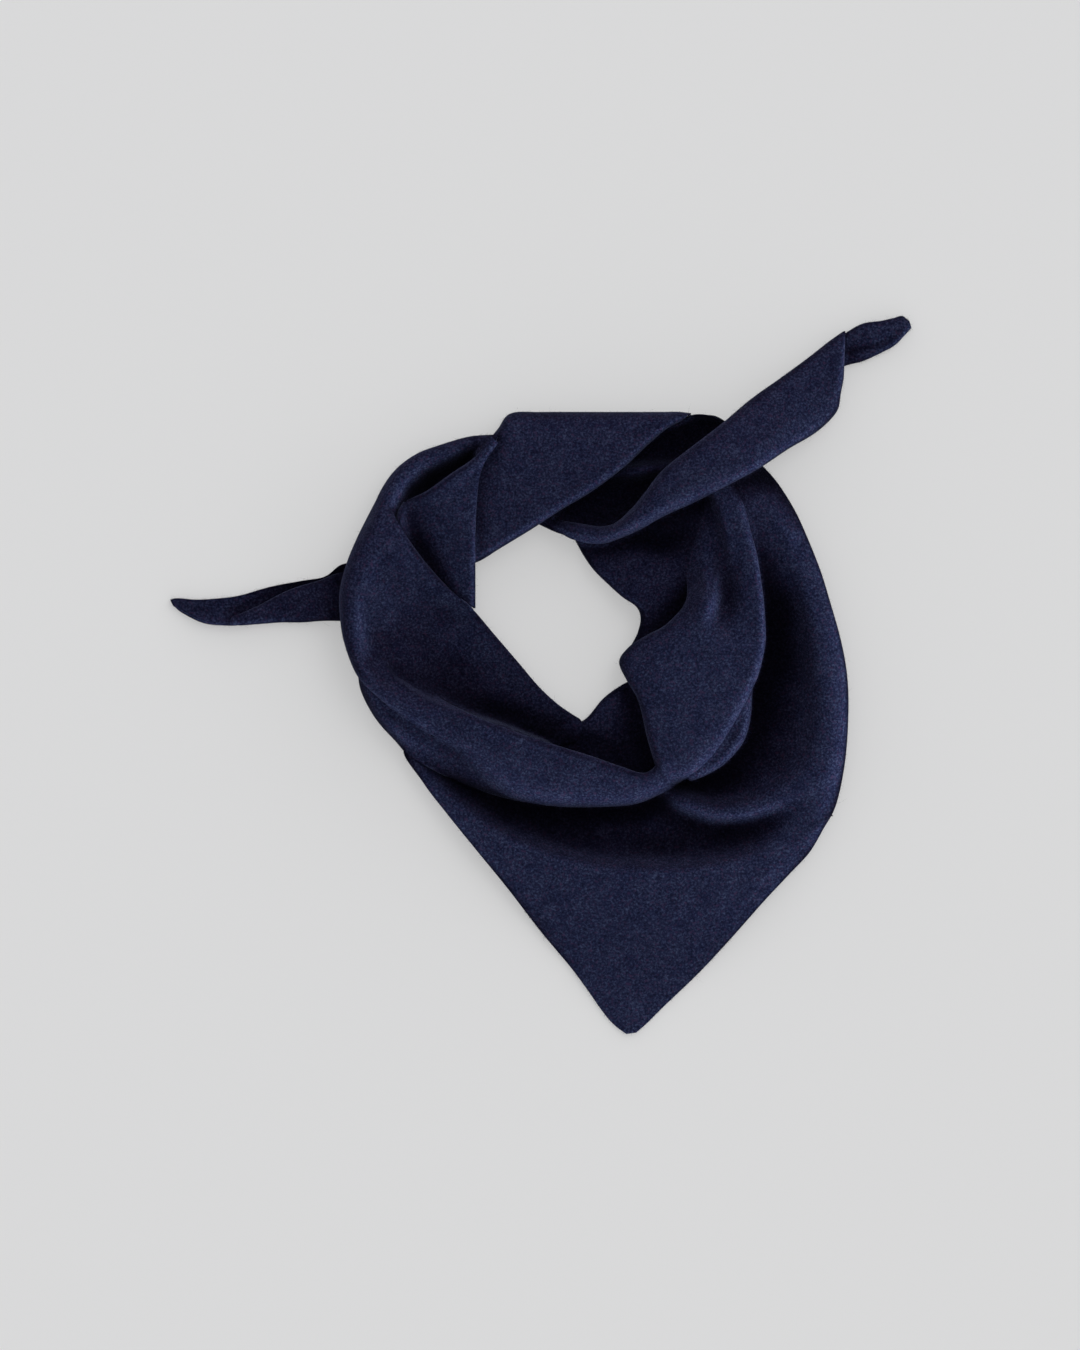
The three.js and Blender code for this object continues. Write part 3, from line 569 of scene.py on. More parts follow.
leftPanelCloth = {
    "name": "leftPanelCloth",
    "node": "left_panel",
    "slot": "wool_outer",
    "shade": 0.84,
    "edges": (8, 3.5),
    "sections": [
        (-113, 125, -105, 118, 26, 26, 26, 26, 26),
        (-121, 110, -100, 107, 26, 29, 30, 30, 28),
        (-128, 95, -90, 91, 26, 30, 31, 29, 26),
        (-135, 78, -77, 74, 25, 30, 28, 25, 22),
        (-140, 59, -61, 57, 25, 28, 21, 17, 17),
        (-140, 41, -47.5, 45.5, 24, 23, 14, 10, 13),
        (-137.5, 24, -33, 28.5, 24, 16, 8, 7, 12),
        (-131.5, 6, -15, 7.5, 24, 13, 5, 5, 12),
        (-125, -5, -1, -9, 25, 14, 6, 6, 11),
        (-112, -17.5, 12, -21, 26, 19, 7, 7, 12),
        (-97, -29, 22, -28, 26, 25, 8, 7, 11),
        (-82, -39, 28, -32, 25, 26, 11, 7, 10),
        (-66, -47, 29, -37, 24, 19, 9, 7, 8),
        (-44, -52, 28, -42, 20, 12, 8, 7, 7),
        (-14, -56, 26, -47, 11, 9, 8, 7, 7),
    ],
    "ridges": [
        # The ring's outer crest, and the fold that it turns into.
        [
            (-110, 108, 0, 9, 12),
            (-127, 76, 4, 9, 12),
            (-132, 48, 6, 8, 12),
            (-130, 22, 7, 8, 12),
            (-121, 2, 7, 8, 12),
            (-106, -13, 6, 8, 10),
            (-86, -25, 4, 8, 8),
            (-64, -33, 0, 8, 8),
        ],
    ],
    "joined": [
        (1, 1, 1),
        (0.8, 0.5, 0),
    ],
}
layCloth(leftPanelCloth)

frontRollCloth = {
    "name": "frontRollCloth",
    "node": "front_roll",
    "slot": "wool_outer",
    "edges": (7, 3),
    "sections": [
        (-112, -17, -104, 2, 27, 29, 30, 31, 31),
        (-98.5, -29.5, -92, -4, 26, 29, 31, 32, 32),
        (-84, -40, -78, -12, 25, 29, 32, 33, 33),
        (-68, -52, -63, -21, 22, 28, 32, 34, 34),
        (-52, -66, -48, -28, 18, 27, 32, 35, 35),
        (-37, -79, -34, -34, 16, 27, 32, 35, 35),
        (-20, -87, -19, -39.5, 16, 27, 32, 35, 35),
        (-2, -91, -2, -45.5, 16, 26, 31, 34, 34),
        (17, -93, 15, -51, 16, 25, 30, 33, 33),
        (42, -93, 36, -57.5, 16, 24, 29, 32, 32),
        (66, -91, 56, -64.5, 17, 23, 27, 29, 30),
        (84, -84, 73, -69, 17, 21, 24, 26, 27),
        (98, -75.5, 84, -60, 14, 19, 22, 24, 25),
        (108, -66, 92, -50, 15, 18, 20, 22, 23),
    ],
    "joined": [
        (1, 1, 1),
        (1, 1, 1),
        (1, 1, 1),
        (1, 0.7, 0.55),
        (1, 0.2, 0.1),
        (0.8, 0, 0),
        (0.2, 0, 0),
    ],
}
layCloth(frontRollCloth)

petalUnderLayerCloth = {
    "name": "petalUnderLayerCloth",
    "node": "petal_under_layer",
    "slot": "wool_inner",
    "edges": (0, 4),
    "sections": [
        (137, 9, 150, 6, 20, 20, 20, 20, 20),
        (133, -11, 148, -13, 21, 21, 21, 21, 20),
        (127, -25, 147, -28, 22, 22, 22, 22, 20),
        (120, -37, 144, -42, 22, 22, 22, 22, 20),
        (113, -48, 138, -53, 22, 22, 22, 22, 20),
        (106, -57, 127, -64, 22, 22, 22, 22, 20),
        (99, -64, 115, -71, 21, 21, 21, 21, 20),
        (95, -69, 105, -75, 20, 20, 20, 20, 20),
    ],
}
layCloth(petalUnderLayerCloth)

rightPetalCloth = {
    "name": "rightPetalCloth",
    "node": "right_petal",
    "slot": "wool_outer",
    "shade": 1.08,
    "edges": (4, 6),
    "sections": [
        (112, 132, 132, 136, 22, 22, 23, 25, 24),
        (110, 116, 141, 120, 20, 20, 22, 28, 27),
        (106, 99, 146, 102, 18, 19, 21, 28, 28),
        (101, 84, 151, 83, 18, 23, 19, 26, 29),
        (102, 67, 154, 64, 22, 29, 21, 26, 30),
        (101, 50, 156, 46, 24, 31, 23, 27, 31),
        (88, 35, 157, 27, 21, 30, 29, 28, 31),
        (74, 27, 156, 17, 18, 28, 32, 32, 31),
        (63, 20, 154, 7, 16, 27, 32, 32, 31),
        (55, 9, 151, -3, 16, 27, 32, 32, 30),
        (60, -4, 145, -16, 20, 29, 32, 32, 29),
        (67, -16, 138, -29, 24, 30, 33, 32, 28),
        (71, -29, 131, -41, 26, 31, 33, 32, 28),
        (74, -43, 123, -53, 27, 31, 33, 31, 27),
        (78, -57, 113, -64, 28, 31, 31, 30, 26),
        (82, -69, 104, -71, 28, 29, 29, 28, 25),
        (86, -78, 96, -77, 25, 26, 26, 26, 23),
    ],
    "joined": [
        (1, 0.3, 0),
        (1, 0.3, 0),
        (1, 0.3, 0),
        (1, 0.2, 0),
        (0.7, 0, 0),
        (0, 0, 0),
        (0, 0, 0),
        (0, 0, 0),
        (0, 0, 0),
        (0, 0, 0),
        (0, 0, 0),
        (0, 0, 0),
        (0, 0, 0),
        (0, 0, 0),
        (0, 0, 0),
        (0.7, 0.5, 0.2),
        (1, 1, 1),
    ],
    "ridges": [
        # The rounded puff beside the hollow, and the groove behind it.
        [
            (104, 82, 1, 7, 6),
            (109, 77, 4, 7, 7),
            (114, 66, 5, 8, 7),
            (116, 52, 5, 9, 7),
            (113, 36, 3, 10, 9),
            (106, 18, 0, 10, 9),
        ],
        [
            (124, 92, -1, 8, 9),
            (129, 76, -3, 7, 9),
            (131, 58, -3, 7, 9),
            (129, 40, -2, 8, 10),
            (124, 20, 0, 9, 10),
        ],
    ],
}
layCloth(rightPetalCloth)

rightTailTipCloth = {
    "name": "rightTailTipCloth",
    "node": "right_tail_tip",
    "slot": "wool_inner",
    "shade": 0.86,
    "edges": (3, 3),
    "sections": [
        (203, 231, 206, 212, 6.5, 6.5, 6.5, 6.5, 6.5),
        (212.5, 238, 214.5, 216, 7, 7, 7, 7, 7),
        (225, 245, 226, 219, 7, 7, 6.5, 6, 6),
        (238, 247, 239, 225, 7, 7, 6.5, 6, 6),
        (247, 249, 248, 230, 7, 7, 6.5, 6, 6),
        (253, 250.5, 255, 237, 6, 6, 6, 6, 6),
        (258, 247, 259.5, 242, 5, 5, 5, 5, 5),
    ],
    "ridges": [
        [
            (212, 225, -2, 3, 3),
            (238, 231, -2.5, 3, 3),
            (250, 240, -1, 3, 3),
        ],
    ],
}
layCloth(rightTailTipCloth)

rightTailCloth = {
    "name": "rightTailCloth",
    "node": "right_tail",
    "slot": "wool_outer",
    "shade": 0.9,
    "edges": (4, 4),
    "deepest": 10,
    "sections": [
        (8, 110, 12, 100, 12, 12, 12, 12, 12),
        (16, 107, 19, 95.5, 16, 16, 16, 16, 15),
        (25, 105.5, 27, 92.5, 19, 20, 20, 19, 17),
        (34, 104, 35, 91, 20, 22, 22, 20, 17),
        (43, 103, 44, 91, 21, 23, 24, 22, 18),
        (53, 106, 54, 94, 23, 26, 27, 25, 20),
        (64, 116, 70, 101, 26, 30, 31, 28, 23),
        (73, 127, 86, 110, 29, 33, 34, 32, 26),
        (85, 142, 106, 119, 32, 36, 37, 35, 30),
        (105, 158, 128, 130, 33, 38, 40, 38, 33),
        (127, 175, 152, 143, 30, 35, 37, 36, 32),
        (147, 192, 173, 157, 22, 27, 28, 27, 23),
        (168, 207, 190, 167, 16, 20, 21, 19, 16),
        (187, 221, 201, 176, 12, 15, 16, 15, 12),
        (201, 232, 208, 185, 11, 13, 14, 13, 11),
        (211, 239, 210, 196, 10, 12, 13, 12, 10),
        (213, 239.5, 212, 206, 9, 10, 10, 10, 9),
    ],
    "joined": [
        (1, 1, 1),
        (0.3, 0.2, 0.2),
    ],
}
layCloth(rightTailCloth)


# The layers wound out of sight.
# A section is (first end x, y, second end x, y): its height comes from the cloth below and above.


def layHidden(cut):
    rows = smoothAlong(cut["sections"], np.linspace(0, 1, cut["along"] + 1))
    share = np.linspace(0, 1, cut["across"] + 1)[None, :]
    x = rows[:, :1] + (rows[:, 2:3] - rows[:, :1]) * share
    y = rows[:, 1:2] + (rows[:, 3:4] - rows[:, 1:2]) * share
    floor = heightAt(widened(lowPile, hidden["clear"]), x, y)
    floor = np.where(floor > cloth["bare"], floor + cloth["gap"], 0)
    roof = heightAt(-widened(-ceiling, hidden["clear"]), x, y) - cloth["gap"]
    roof = np.maximum(roof, floor + hidden["least"])
    outward = np.stack([rows[:, 0] - rows[:, 2], rows[:, 1] - rows[:, 3]], axis=-1)
    outward /= np.linalg.norm(outward, axis=1, keepdims=True)
    sideCount = 2 * hidden["layers"] - 1
    sides = []
    for end, way in ((0, 1), (-1, -1)):
        for step in range(sideCount):
            out = way * hidden["bulge"] * (step % 2 == 0)
            z = floor[:, end] + (roof[:, end] - floor[:, end]) * (step + 1) / (sideCount + 1)
            sides.append(np.stack([x[:, end] + outward[:, 0] * out, y[:, end] + outward[:, 1] * out, z], axis=-1))
    sideA, sideB = np.stack(sides[:sideCount], axis=1), np.stack(sides[sideCount:], axis=1)
    top = np.stack([x, y, roof], axis=-1)
    bottom = np.stack([x, y, floor], axis=-1)
    rings = (np.concatenate([sideA, top, sideB[:, ::-1], bottom[:, ::-1]], axis=1) + (*tableShift, 0)) * millimetre
    corner = np.arange(rings[..., 0].size).reshape(rings.shape[:2])
    after = np.roll(corner, -1, axis=1)
    faces = np.stack([corner[:-1], corner[1:], after[1:], after[:-1]], axis=-1).reshape(-1, 4).tolist()
    faces += [corner[0].tolist(), corner[-1][::-1].tolist()]
    mesh = bpy.data.meshes.new(cut["name"])
    mesh.from_pydata(rings.reshape(-1, 3).tolist(), [], faces)
    # These layers have no painted shading on their points, so the wool gives them its darkest painted shade.
    mesh.materials.append(woolInner)
    piece = bpy.data.objects.new(cut["name"], mesh)
    bpy.context.scene.collection.objects.link(piece)
    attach(piece, "root")
    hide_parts(cut["node"])
    print("laid", cut["name"])


hidden = {
    "clear": 4,            # room kept from the cloth round them
    "least": 0.6,          # least thickness
    "layers": 3,           # layers that show at their edges
    "bulge": 1.2,          # how far each layer's edge stands out
}

# The wool.
def newNode(nodes, kind, **values):
    node = nodes.new(kind)
    for name, value in values.items():
        if hasattr(node, name):
            setattr(node, name, value)
        else:
            node.inputs[name].default_value = value
    return node


def makeWool(name, look):
    material = bpy.data.materials.new(name)
    material.use_nodes = True
    nodes, links = material.node_tree.nodes, material.node_tree.links
    shader = nodes["Principled BSDF"]
    shader.inputs["Roughness"].default_value = 1.0
    shader.inputs["Specular IOR Level"].default_value = 0.0
    shader.inputs["Sheen Weight"].default_value = look["sheen"]
    shader.inputs["Sheen Roughness"].default_value = look["sheenRoughness"]
    shader.inputs["Sheen Tint"].default_value = (*look["sheenTint"], 1)

    places = newNode(nodes, "ShaderNodeTexCoord")
    heather = newNode(nodes, "ShaderNodeTexNoise", Scale=look["heatherScale"], Detail=3.0, Roughness=0.7)
    ramp = newNode(nodes, "ShaderNodeValToRGB")
    ramp.color_ramp.elements[0].position = 0.30
    ramp.color_ramp.elements[0].color = (*look["dark"], 1)
    ramp.color_ramp.elements[1].position = 0.72
    ramp.color_ramp.elements[1].color = (*look["light"], 1)
    middle = ramp.color_ramp.elements.new(0.5)
    middle.color = (*look["middle"], 1)
    warm = newNode(nodes, "ShaderNodeTexNoise", Scale=look["warmScale"], Detail=2.0)
    warmShare = newNode(nodes, "ShaderNodeMapRange")
    warmShare.inputs["From Min"].default_value = 0.56
    warmShare.inputs["From Max"].default_value = 0.74
    blend = newNode(nodes, "ShaderNodeMix", data_type="RGBA", blend_type="MIX")
    links.new(places.outputs["Object"], heather.inputs["Vector"])
    links.new(places.outputs["Object"], warm.inputs["Vector"])
    links.new(heather.outputs["Fac"], ramp.inputs["Fac"])
    links.new(warm.outputs["Fac"], warmShare.inputs["Value"])
    links.new(warmShare.outputs["Result"], blend.inputs["Factor"])
    links.new(ramp.outputs["Color"], blend.inputs["A"])
    blend.inputs["B"].default_value = (*look["warm"], 1)
    # Soft clouds, where the felting has drawn more or fewer light fibres to the face.
    cloud = newNode(nodes, "ShaderNodeTexNoise", Scale=look["cloudScale"], Detail=4.0, Roughness=0.6)
    cloudTint = newNode(nodes, "ShaderNodeValToRGB")
    cloudTint.color_ramp.elements[0].position = 0.34
    cloudTint.color_ramp.elements[0].color = (*look["cloudDark"], 1)
    cloudTint.color_ramp.elements[1].position = 0.66
    cloudTint.color_ramp.elements[1].color = (*look["cloudLight"], 1)
    clouded = newNode(nodes, "ShaderNodeMix", data_type="RGBA", blend_type="MULTIPLY")
    clouded.inputs["Factor"].default_value = 1.0
    links.new(places.outputs["Object"], cloud.inputs["Vector"])
    links.new(cloud.outputs["Fac"], cloudTint.inputs["Fac"])
    links.new(blend.outputs["Result"], clouded.inputs["A"])
    links.new(cloudTint.outputs["Color"], clouded.inputs["B"])
    # Painted shade and light: the colour is multiplied by the painted shading stored on each point, darker down in
    # the creases, where less of the sky reaches the fibres.
    sky = newNode(nodes, "ShaderNodeAttribute", attribute_name="paintedShading")
    depth = newNode(nodes, "ShaderNodeMapRange")
    depth.inputs["To Min"].default_value = look["paintedShadeLeast"]
    depth.clamp = False
    shaded = newNode(nodes, "ShaderNodeMix", data_type="RGBA", blend_type="MULTIPLY")
    shaded.inputs["Factor"].default_value = 1.0
    links.new(sky.outputs["Fac"], depth.inputs["Value"])
    links.new(clouded.outputs["Result"], shaded.inputs["A"])
    links.new(depth.outputs["Result"], shaded.inputs["B"])
    # The painted shade leans to purple in the creases.
    tint = newNode(nodes, "ShaderNodeMix", data_type="RGBA", blend_type="MIX")
    tint.inputs["A"].default_value = (*look["paintedShadeTint"], 1)
    tint.inputs["B"].default_value = (*look["paintedLitTint"], 1)
    tinted = newNode(nodes, "ShaderNodeMix", data_type="RGBA", blend_type="MULTIPLY")
    tinted.inputs["Factor"].default_value = 1.0
    links.new(sky.outputs["Fac"], tint.inputs["Factor"])
    links.new(shaded.outputs["Result"], tinted.inputs["A"])
    links.new(tint.outputs["Result"], tinted.inputs["B"])
    links.new(tinted.outputs["Result"], shader.inputs["Base Color"])

    # Two grains: the knit's soft stitches and the felted fibres on them.
    stitches = newNode(nodes, "ShaderNodeTexNoise", Scale=look["stitchScale"], Detail=2.0, Roughness=0.6)
    fibres = newNode(nodes, "ShaderNodeTexNoise", Scale=look["fibreScale"], Detail=3.0, Roughness=0.7)
    grain = newNode(nodes, "ShaderNodeMix", data_type="FLOAT")
    grain.inputs["Factor"].default_value = look["fibreShare"]
    bump = newNode(nodes, "ShaderNodeBump")
    bump.inputs["Strength"].default_value = look["grain"]
    bump.inputs["Distance"].default_value = look["grainDepth"]
    for noise in (stitches, fibres):
        links.new(places.outputs["Object"], noise.inputs["Vector"])
    links.new(stitches.outputs["Fac"], grain.inputs["A"])
    links.new(fibres.outputs["Fac"], grain.inputs["B"])
    links.new(grain.outputs["Result"], bump.inputs["Height"])
    links.new(bump.outputs["Normal"], shader.inputs["Normal"])
    return material


outerLook = {
    "dark": (0.0050, 0.0055, 0.0165),
    "middle": (0.0150, 0.0176, 0.0478),
    "light": (0.0520, 0.0660, 0.134),
    "warm": (0.0380, 0.0240, 0.061),
    "heatherScale": 640,
    "warmScale": 470,
    "cloudScale": 95,
    "cloudDark": (0.80, 0.82, 0.88),
    "cloudLight": (1.22, 1.20, 1.13),
    "sheen": 0.16,
    "sheenRoughness": 0.40,
    "sheenTint": (0.52, 0.60, 1.0),
    "stitchScale": 620,
    "fibreScale": 2100,
    "grain": 0.8,
    "grainDepth": 0.0009,
    "fibreShare": 0.45,    # share of the fibres in the grain, the rest is stitches
    "paintedShadeLeast": 0.09,   # what is left of the colour in the deepest painted shade
    "paintedShadeTint": (1.22, 0.92, 1.0),
    "paintedLitTint": (0.97, 1.01, 1.0),
}
innerLook = dict(outerLook, sheen=0.12)
napLook = dict(
    outerLook, dark=(0.016, 0.019, 0.050), middle=(0.024, 0.028, 0.070), light=(0.036, 0.042, 0.095), sheen=0.0
)

woolOuter = makeWool("woolOuter", outerLook)
woolInner = makeWool("woolInner", innerLook)
woolNap = makeWool("woolNap", napLook)
for stretch in laid:
    isInner = stretch["cut"]["slot"] == "wool_inner"
    stretch["piece"].data.materials.append(woolInner if isInner else woolOuter)
print("wool made")

hiddenBack = {
    "name": "hiddenLayersBack",
    "node": "hidden_layers_back",
    "along": 24,
    "across": 12,
    "sections": [
        (-38, 92, -32, 152),
        (-23, 103, -14, 168),
        (-12, 120, 3, 171),
        (8, 136, 28, 171),
        (30, 150, 49, 171),
        (50, 160, 58, 171),
    ],
}
layHidden(hiddenBack)

hiddenLeft = {
    "name": "hiddenLayersLeft",
    "node": "hidden_layers_left",
    "along": 30,
    "across": 20,
    "sections": [
        (-98, 92, -116, 94),
        (-87, 74, -121, 76),
        (-67, 50, -122, 50),
        (-45, 30, -122, 28),
        (-28, 11, -115, 13),
        (-12, -6, -98, -3),
    ],
}
layHidden(hiddenLeft)

hiddenFront = {
    "name": "hiddenLayersFront",
    "node": "hidden_layers_front",
    "along": 24,
    "across": 8,
    "sections": [
        (-70, -31, -76, -42),
        (-48, -38, -55, -50),
        (-24, -48, -34, -61),
        (-3, -59, -13, -70),
        (12, -64, 6, -76),
        (34, -70, 30, -79),
        (54, -74, 52, -80),
    ],
}
layHidden(hiddenFront)

hiddenRight = {
    "name": "hiddenLayersRight",
    "node": "hidden_layers_right",
    "along": 28,
    "across": 12,
    "sections": [
        (96, 112, 122, 120),
        (72, 88, 130, 104),
        (66, 66, 138, 80),
        (83, 44, 144, 56),
        (86, 24, 147, 34),
        (74, 6, 144, 10),
        (72, -10, 134, -14),
        (80, -34, 122, -36),
        (90, -52, 106, -54),
    ],
}
layHidden(hiddenRight)


def paintedShadingFromSky(heights):
    # Painted shade and light for the wool's colour: the share of the sky left by what rises above the cloth's own
    # slope, all round each place on the pile.
    smooth = eased(heights, crease["slopeEase"])
    slopeY, slopeX = np.gradient(smooth, table["cell"])
    total = np.zeros_like(heights)
    for angle in np.arange(crease["directions"]) * 2 * math.pi / crease["directions"]:
        own = np.arctan(np.maximum(0, slopeX * math.cos(angle) + slopeY * math.sin(angle)))
        horizon = np.zeros_like(heights)
        for distance in crease["distances"]:
            # What the roll brings to a place lies at this distance in the direction of the angle.
            shift = (-int(round(distance * math.sin(angle))), -int(round(distance * math.cos(angle))))
            rise = np.roll(heights, shift, (0, 1)) - heights
            np.maximum(horizon, rise / distance, out=horizon)
        total += np.cos(np.maximum(0, np.arctan(horizon) - own)) ** 2
    # And what lies low in the pile is painted darker than what lies high.
    isCloth = (heights > 0.3).astype(float)
    around = spreadOut(heights * isCloth, crease["around"]) / np.maximum(spreadOut(isCloth, crease["around"]), 0.01)
    low = np.maximum(0, around - smooth - crease["lowFrom"]) / (crease["lowDepth"] + crease["lowEase"] * smooth)
    # Painted light and shade on steep slopes: outer slopes that fall towards one side are painted lighter, and other
    # steep slopes darker.
    steep = np.hypot(slopeX, slopeY)
    along = -(slopeX * crease["litSlopeFalls"][0] + slopeY * crease["litSlopeFalls"][1]) / np.maximum(steep, 1e-6)
    isOuter = np.clip((smooth - spreadOut(smooth, crease["around"])) / crease["outerRise"] + 0.5, 0, 1)
    along = np.sqrt(np.maximum(0, along)) * isOuter
    amount = np.clip((steep - crease["slopeFrom"]) / crease["slopeFull"], 0, 1)
    lit = 1 + amount * (crease["paintedSlopeLight"] * along - crease["paintedSlopeShade"] * (1 - along))
    return (total / crease["directions"]) ** crease["power"] * np.exp(-low) * lit


def spreadOut(values, reach):
    # Average over a round neighbourhood, weighted like a bell.
    steps = np.arange(-2 * reach, 2 * reach + 1)
    bell = np.exp(-((steps / reach) ** 2))
    bell /= bell.sum()
    for axis in (0, 1):
        values = sum(share * np.roll(values, step, axis) for share, step in zip(bell, steps))
    return values


# Settings of the painted shade and painted light that go into the wool's colour.
crease = {
    "directions": 20,
    "distances": (1.5, 3, 5, 7, 10, 14, 19, 25, 32, 40),
    "slopeEase": 8,
    "power": 3.3,
    "around": 18,
    "lowFrom": 1.0,
    "lowDepth": 1.0,       # depth in the pile that takes most of the light from cloth on the table
    "lowEase": 0.28,       # and how much deeper it is for each millimetre that the cloth lies higher
    "litSlopeFalls": (0.45, -0.89),
    "paintedSlopeLight": 1.45,
    "paintedSlopeShade": 0.55,
    "slopeFrom": 0.18,     # rise over run at which a slope starts to count as steep
    "slopeFull": 0.80,
    "underCloth": 0.3,     # what is left of the colour under another layer, as painted shade
    "coverDepth": 3.0,     # a point this far under the pile's top is covered
    "coverFrom": 0.3,      # share of that depth at which the cover starts to tell
    "outerRise": 8,        # a slope counts as an outer one as it rises this far over what lies round it
}
# The painted shade and light on each point of the cloth: darker in creases, low in the pile and under another layer,
# lighter on outer slopes.
paintedShadingMap = paintedShadingFromSky(eased(pile, 2))
for stretch in laid:
    x, y, z = stretch["x"], stretch["y"], stretch["z"]
    covered = np.clip((heightAt(pile, x, y) - z) / crease["coverDepth"] - crease["coverFrom"], 0, 1)
    paintedShading = heightAt(paintedShadingMap, x, y) * (1 - covered * (1 - crease["underCloth"]))
    paintedShading = paintedShading * stretch["cut"].get("shade", 1)  # "shade" paints one whole stretch lighter or darker than the rest, as painted light and shade
    paintedShading = np.maximum(paintedShading, stretch["cut"].get("least", 0))  # and "least" keeps its painted crease shade from going black
    values = stretch["piece"].data.attributes.new("paintedShading", "FLOAT", "POINT")
    values.data.foreach_set("value", np.tile(paintedShading.ravel(), 2))
print("creases shaded")


# The nap: short fibres that stand off the felted face.
nap = {
    "perSquare": 0.95,     # fibres on each square millimetre that shows
    "length": 2.1,         # usual length
    "spread": 0.45,        # how much the lengths differ
    "lean": (0.10, 0.75),  # rise of a fibre for each unit along the cloth
    "curl": 0.55,
    "curlUp": 0.2,
    "width": 0.055,
    "buried": 0.25,        # how deep a fibre starts in the cloth
    "showsWithin": 4,      # cloth further under the pile's top than this has no nap
    "fewest": 10,          # a stretch with fewer fibres than this has none
    "seed": 11,
}


def growNap(stretch, draw):
    places = np.stack([stretch["x"], stretch["y"], stretch["z"]], axis=-1)
    a, b, c, d = places[:-1, :-1], places[:-1, 1:], places[1:, :-1], places[1:, 1:]
    facing = np.cross(b - a, c - a)
    area = np.linalg.norm(facing, axis=-1)
    facing = facing / np.maximum(area, 1e-9)[..., None]
    facing = facing * np.sign(facing[..., 2].sum())
    centre = (a + b + c + d) / 4
    shows = centre[..., 2] > heightAt(widened(pile, 1), centre[..., 0], centre[..., 1]) - nap["showsWithin"]
    weight = (area * shows).ravel()
    count = int(weight.sum() * nap["perSquare"])
    if count < nap["fewest"]:
        return None
    chosen = draw.choice(weight.size, count, p=weight / weight.sum())
    s, t = draw.random((2, count, 1))
    a, b, c, d = (corner.reshape(-1, 3)[chosen] for corner in (a, b, c, d))
    root = (a * (1 - s) + b * s) * (1 - t) + (c * (1 - s) + d * s) * t
    normal = facing.reshape(-1, 3)[chosen]
    flat = draw.normal(size=(count, 3))
    flat -= (flat * normal).sum(1, keepdims=True) * normal
    flat /= np.linalg.norm(flat, axis=1, keepdims=True)
    rise = draw.uniform(*nap["lean"], (count, 1)) ** 1.5
    aim = flat + normal * rise
    aim /= np.linalg.norm(aim, axis=1, keepdims=True)
    length = nap["length"] * np.exp(draw.normal(0, nap["spread"], (count, 1)))
    side = np.cross(aim, normal)
    side /= np.maximum(np.linalg.norm(side, axis=1, keepdims=True), 1e-6)
    bend = side * draw.normal(0, nap["curl"], (count, 1))
    bend = bend + normal * draw.normal(0, nap["curlUp"], (count, 1))
    middlePoint = root + aim * length * 0.5
    tip = root + aim * length + bend * length * 0.5
    twist = draw.uniform(0, math.pi, (count, 1))
    edge = (side * np.cos(twist) + np.cross(aim, side) * np.sin(twist)) * nap["width"] / 2
    buried = root - normal * nap["buried"]
    points = np.stack([buried - edge, buried + edge, middlePoint - edge, middlePoint + edge, tip], axis=1)
    points[..., 2] = np.maximum(points[..., 2], cloth["offTable"])
    points = (points.reshape(-1, 3) + (*tableShift, 0)) * millimetre
    first = np.arange(count)[:, None] * 5
    quads = first + np.array([[0, 1, 3, 2]])
    tips = first + np.array([[2, 3, 4]])
    name = stretch["cut"]["name"] + "Nap"
    mesh = bpy.data.meshes.new(name)
    mesh.from_pydata(points.tolist(), [], quads.tolist() + tips.tolist())
    mesh.materials.append(woolNap)
    # The fibres take the painted shade and light of the place where they stand.
    values = mesh.attributes.new("paintedShading", "FLOAT", "POINT")
    paintedShading = heightAt(paintedShadingMap, root[:, 0], root[:, 1]) * stretch["cut"].get("shade", 1)
    values.data.foreach_set("value", np.repeat(paintedShading, 5))
    piece = bpy.data.objects.new(name, mesh)
    bpy.context.scene.collection.objects.link(piece)
    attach(piece, "root")
    return piece


napDraw = np.random.default_rng(nap["seed"])
fibreCount = 0
for stretch in laid:
    stretch["nap"] = growNap(stretch, napDraw)
    if stretch["nap"]:
        fibreCount += len(stretch["nap"].data.vertices) // 5
print("nap grown with", fibreCount, "fibres")


# Each stretch's size as a flat sheet of cloth.
def flatCut(stretch):
    # Width and length of the stretch, measured along its own cloth, and its area.
    places = np.stack([stretch["x"], stretch["y"], stretch["z"]], axis=-1) * millimetre
    across = np.linalg.norm(np.diff(places, axis=1), axis=-1).sum(axis=1)
    along = np.linalg.norm(np.diff(places, axis=0), axis=-1).sum(axis=0)
    a, b, c = places[:-1, :-1], places[:-1, 1:], places[1:, :-1]
    area = np.linalg.norm(np.cross(b - a, c - a), axis=-1).sum()
    return max(across.mean(), area / along.mean()), along.mean(), area


for stretch in laid:
    cutWidth, cutLength, cutArea = flatCut(stretch)
    cutArea = min(cutArea, cutWidth * cutLength)
    print("sheet", stretch["cut"]["name"], round(cutWidth, 3), round(cutLength, 3), round(cutArea, 4))


# Floor, light and camera.
studio = {
    "floorColour": (0.45, 0.448, 0.446),
    "floorGlow": 0.365,    # the floor is lit from below too, so its shadows stay pale
    "wallLight": 2.3,      # the room's walls are bright near the floor
    "ceilingLight": 0.44,  # and its ceiling is dim
    "wallTop": 0.62,       # height in the sky at which the walls end, from 0 to 1
    "lightColour": (0.97, 0.98, 1.0),
    "windowSide": (0.30, 0.36, 0.0),  # how much brighter the walls are to the right and to the back
    "lampPlace": (1.0, 1.1, 1.5),
    "lampAngle": 34,       # degrees that the soft lamp takes up in the sky
    "lampPower": 0.42,
    "lensMillimetres": 200,
    "sensorMillimetres": 36,
    "seenHeight": 0.945,   # metres of floor from the picture's lower edge to its upper edge
    "seenMiddle": (-0.0006, 0.0002),
}


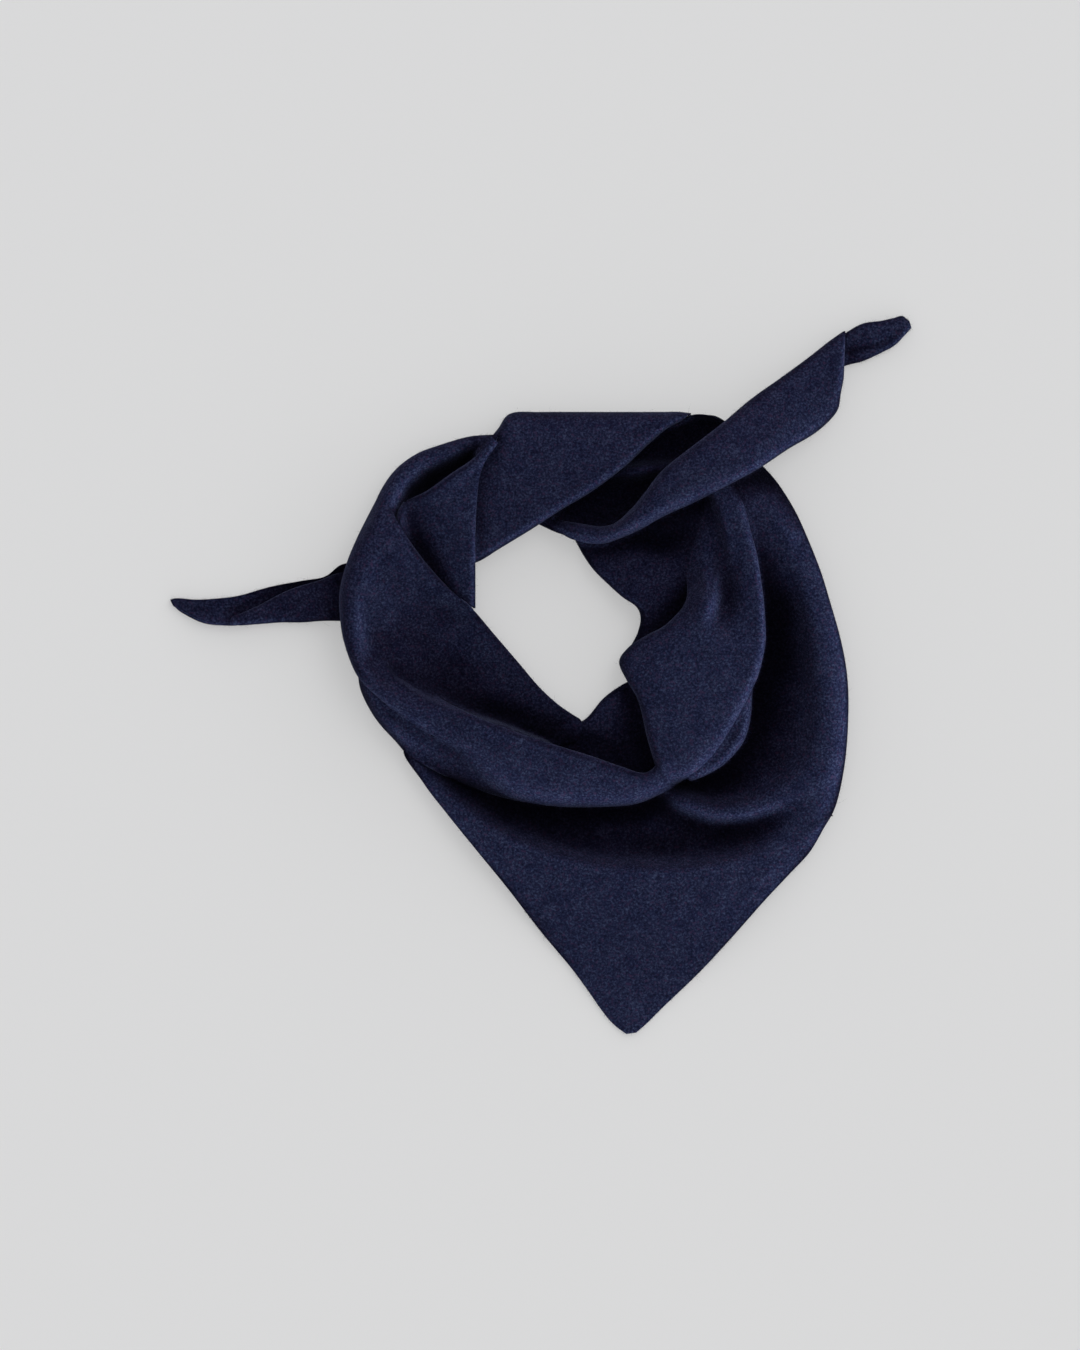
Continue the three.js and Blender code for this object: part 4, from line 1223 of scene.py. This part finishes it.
def makeStudio():
    floorMesh = bpy.data.meshes.new("floor")
    reach = 6
    floorMesh.from_pydata(
        [(-reach, -reach, 0), (reach, -reach, 0), (reach, reach, 0), (-reach, reach, 0)], [], [(0, 1, 2, 3)]
    )
    floor = bpy.data.objects.new("floor", floorMesh)
    bpy.context.scene.collection.objects.link(floor)
    floorPaint = bpy.data.materials.new("floorPaint")
    floorPaint.use_nodes = True
    floorShader = floorPaint.node_tree.nodes["Principled BSDF"]
    floorShader.inputs["Base Color"].default_value = (*studio["floorColour"], 1)
    floorShader.inputs["Roughness"].default_value = 1.0
    floorShader.inputs["Specular IOR Level"].default_value = 0.0
    floorShader.inputs["Emission Color"].default_value = (1, 1, 1, 1)
    floorShader.inputs["Emission Strength"].default_value = studio["floorGlow"]
    floorMesh.materials.append(floorPaint)
    floor.location.z = -0.0002

    world = bpy.data.worlds.new("softRoom")
    world.use_nodes = True
    nodes, links = world.node_tree.nodes, world.node_tree.links
    background = nodes["Background"]
    background.inputs["Color"].default_value = (*studio["lightColour"], 1)
    direction = newNode(nodes, "ShaderNodeTexCoord")
    parts = newNode(nodes, "ShaderNodeSeparateXYZ")
    fall = newNode(nodes, "ShaderNodeMapRange", interpolation_type="SMOOTHSTEP")
    fall.inputs["From Max"].default_value = studio["wallTop"]
    fall.inputs["To Min"].default_value = studio["wallLight"]
    fall.inputs["To Max"].default_value = studio["ceilingLight"]
    window = newNode(nodes, "ShaderNodeVectorMath", operation="DOT_PRODUCT")
    window.inputs[1].default_value = studio["windowSide"]
    brighter = newNode(nodes, "ShaderNodeMath", operation="ADD")
    brighter.inputs[1].default_value = 1.0
    strength = newNode(nodes, "ShaderNodeMath", operation="MULTIPLY")
    links.new(direction.outputs["Generated"], parts.inputs["Vector"])
    links.new(direction.outputs["Generated"], window.inputs[0])
    links.new(parts.outputs["Z"], fall.inputs["Value"])
    links.new(window.outputs["Value"], brighter.inputs[0])
    links.new(fall.outputs["Result"], strength.inputs[0])
    links.new(brighter.outputs["Value"], strength.inputs[1])
    links.new(strength.outputs["Value"], background.inputs["Strength"])
    bpy.context.scene.world = world

    lamp = bpy.data.lights.new("softbox", "SUN")
    lamp.angle = math.radians(studio["lampAngle"])
    lamp.energy = studio["lampPower"]
    softbox = bpy.data.objects.new("softbox", lamp)
    softbox.location = studio["lampPlace"]
    softbox.rotation_mode = "QUATERNION"
    softbox.rotation_quaternion = softbox.location.to_track_quat("Z", "Y")
    bpy.context.scene.collection.objects.link(softbox)

    lens = bpy.data.cameras.new("overhead")
    lens.lens = studio["lensMillimetres"]
    lens.sensor_width = studio["sensorMillimetres"]
    lens.clip_end = 50
    overhead = bpy.data.objects.new("overhead", lens)
    distance = studio["seenHeight"] * studio["lensMillimetres"] / studio["sensorMillimetres"]
    overhead.location = (*studio["seenMiddle"], distance)
    bpy.context.scene.collection.objects.link(overhead)
    bpy.context.scene.camera = overhead
    bpy.context.scene.view_settings.view_transform = "Standard"


makeStudio()
print("studio set")
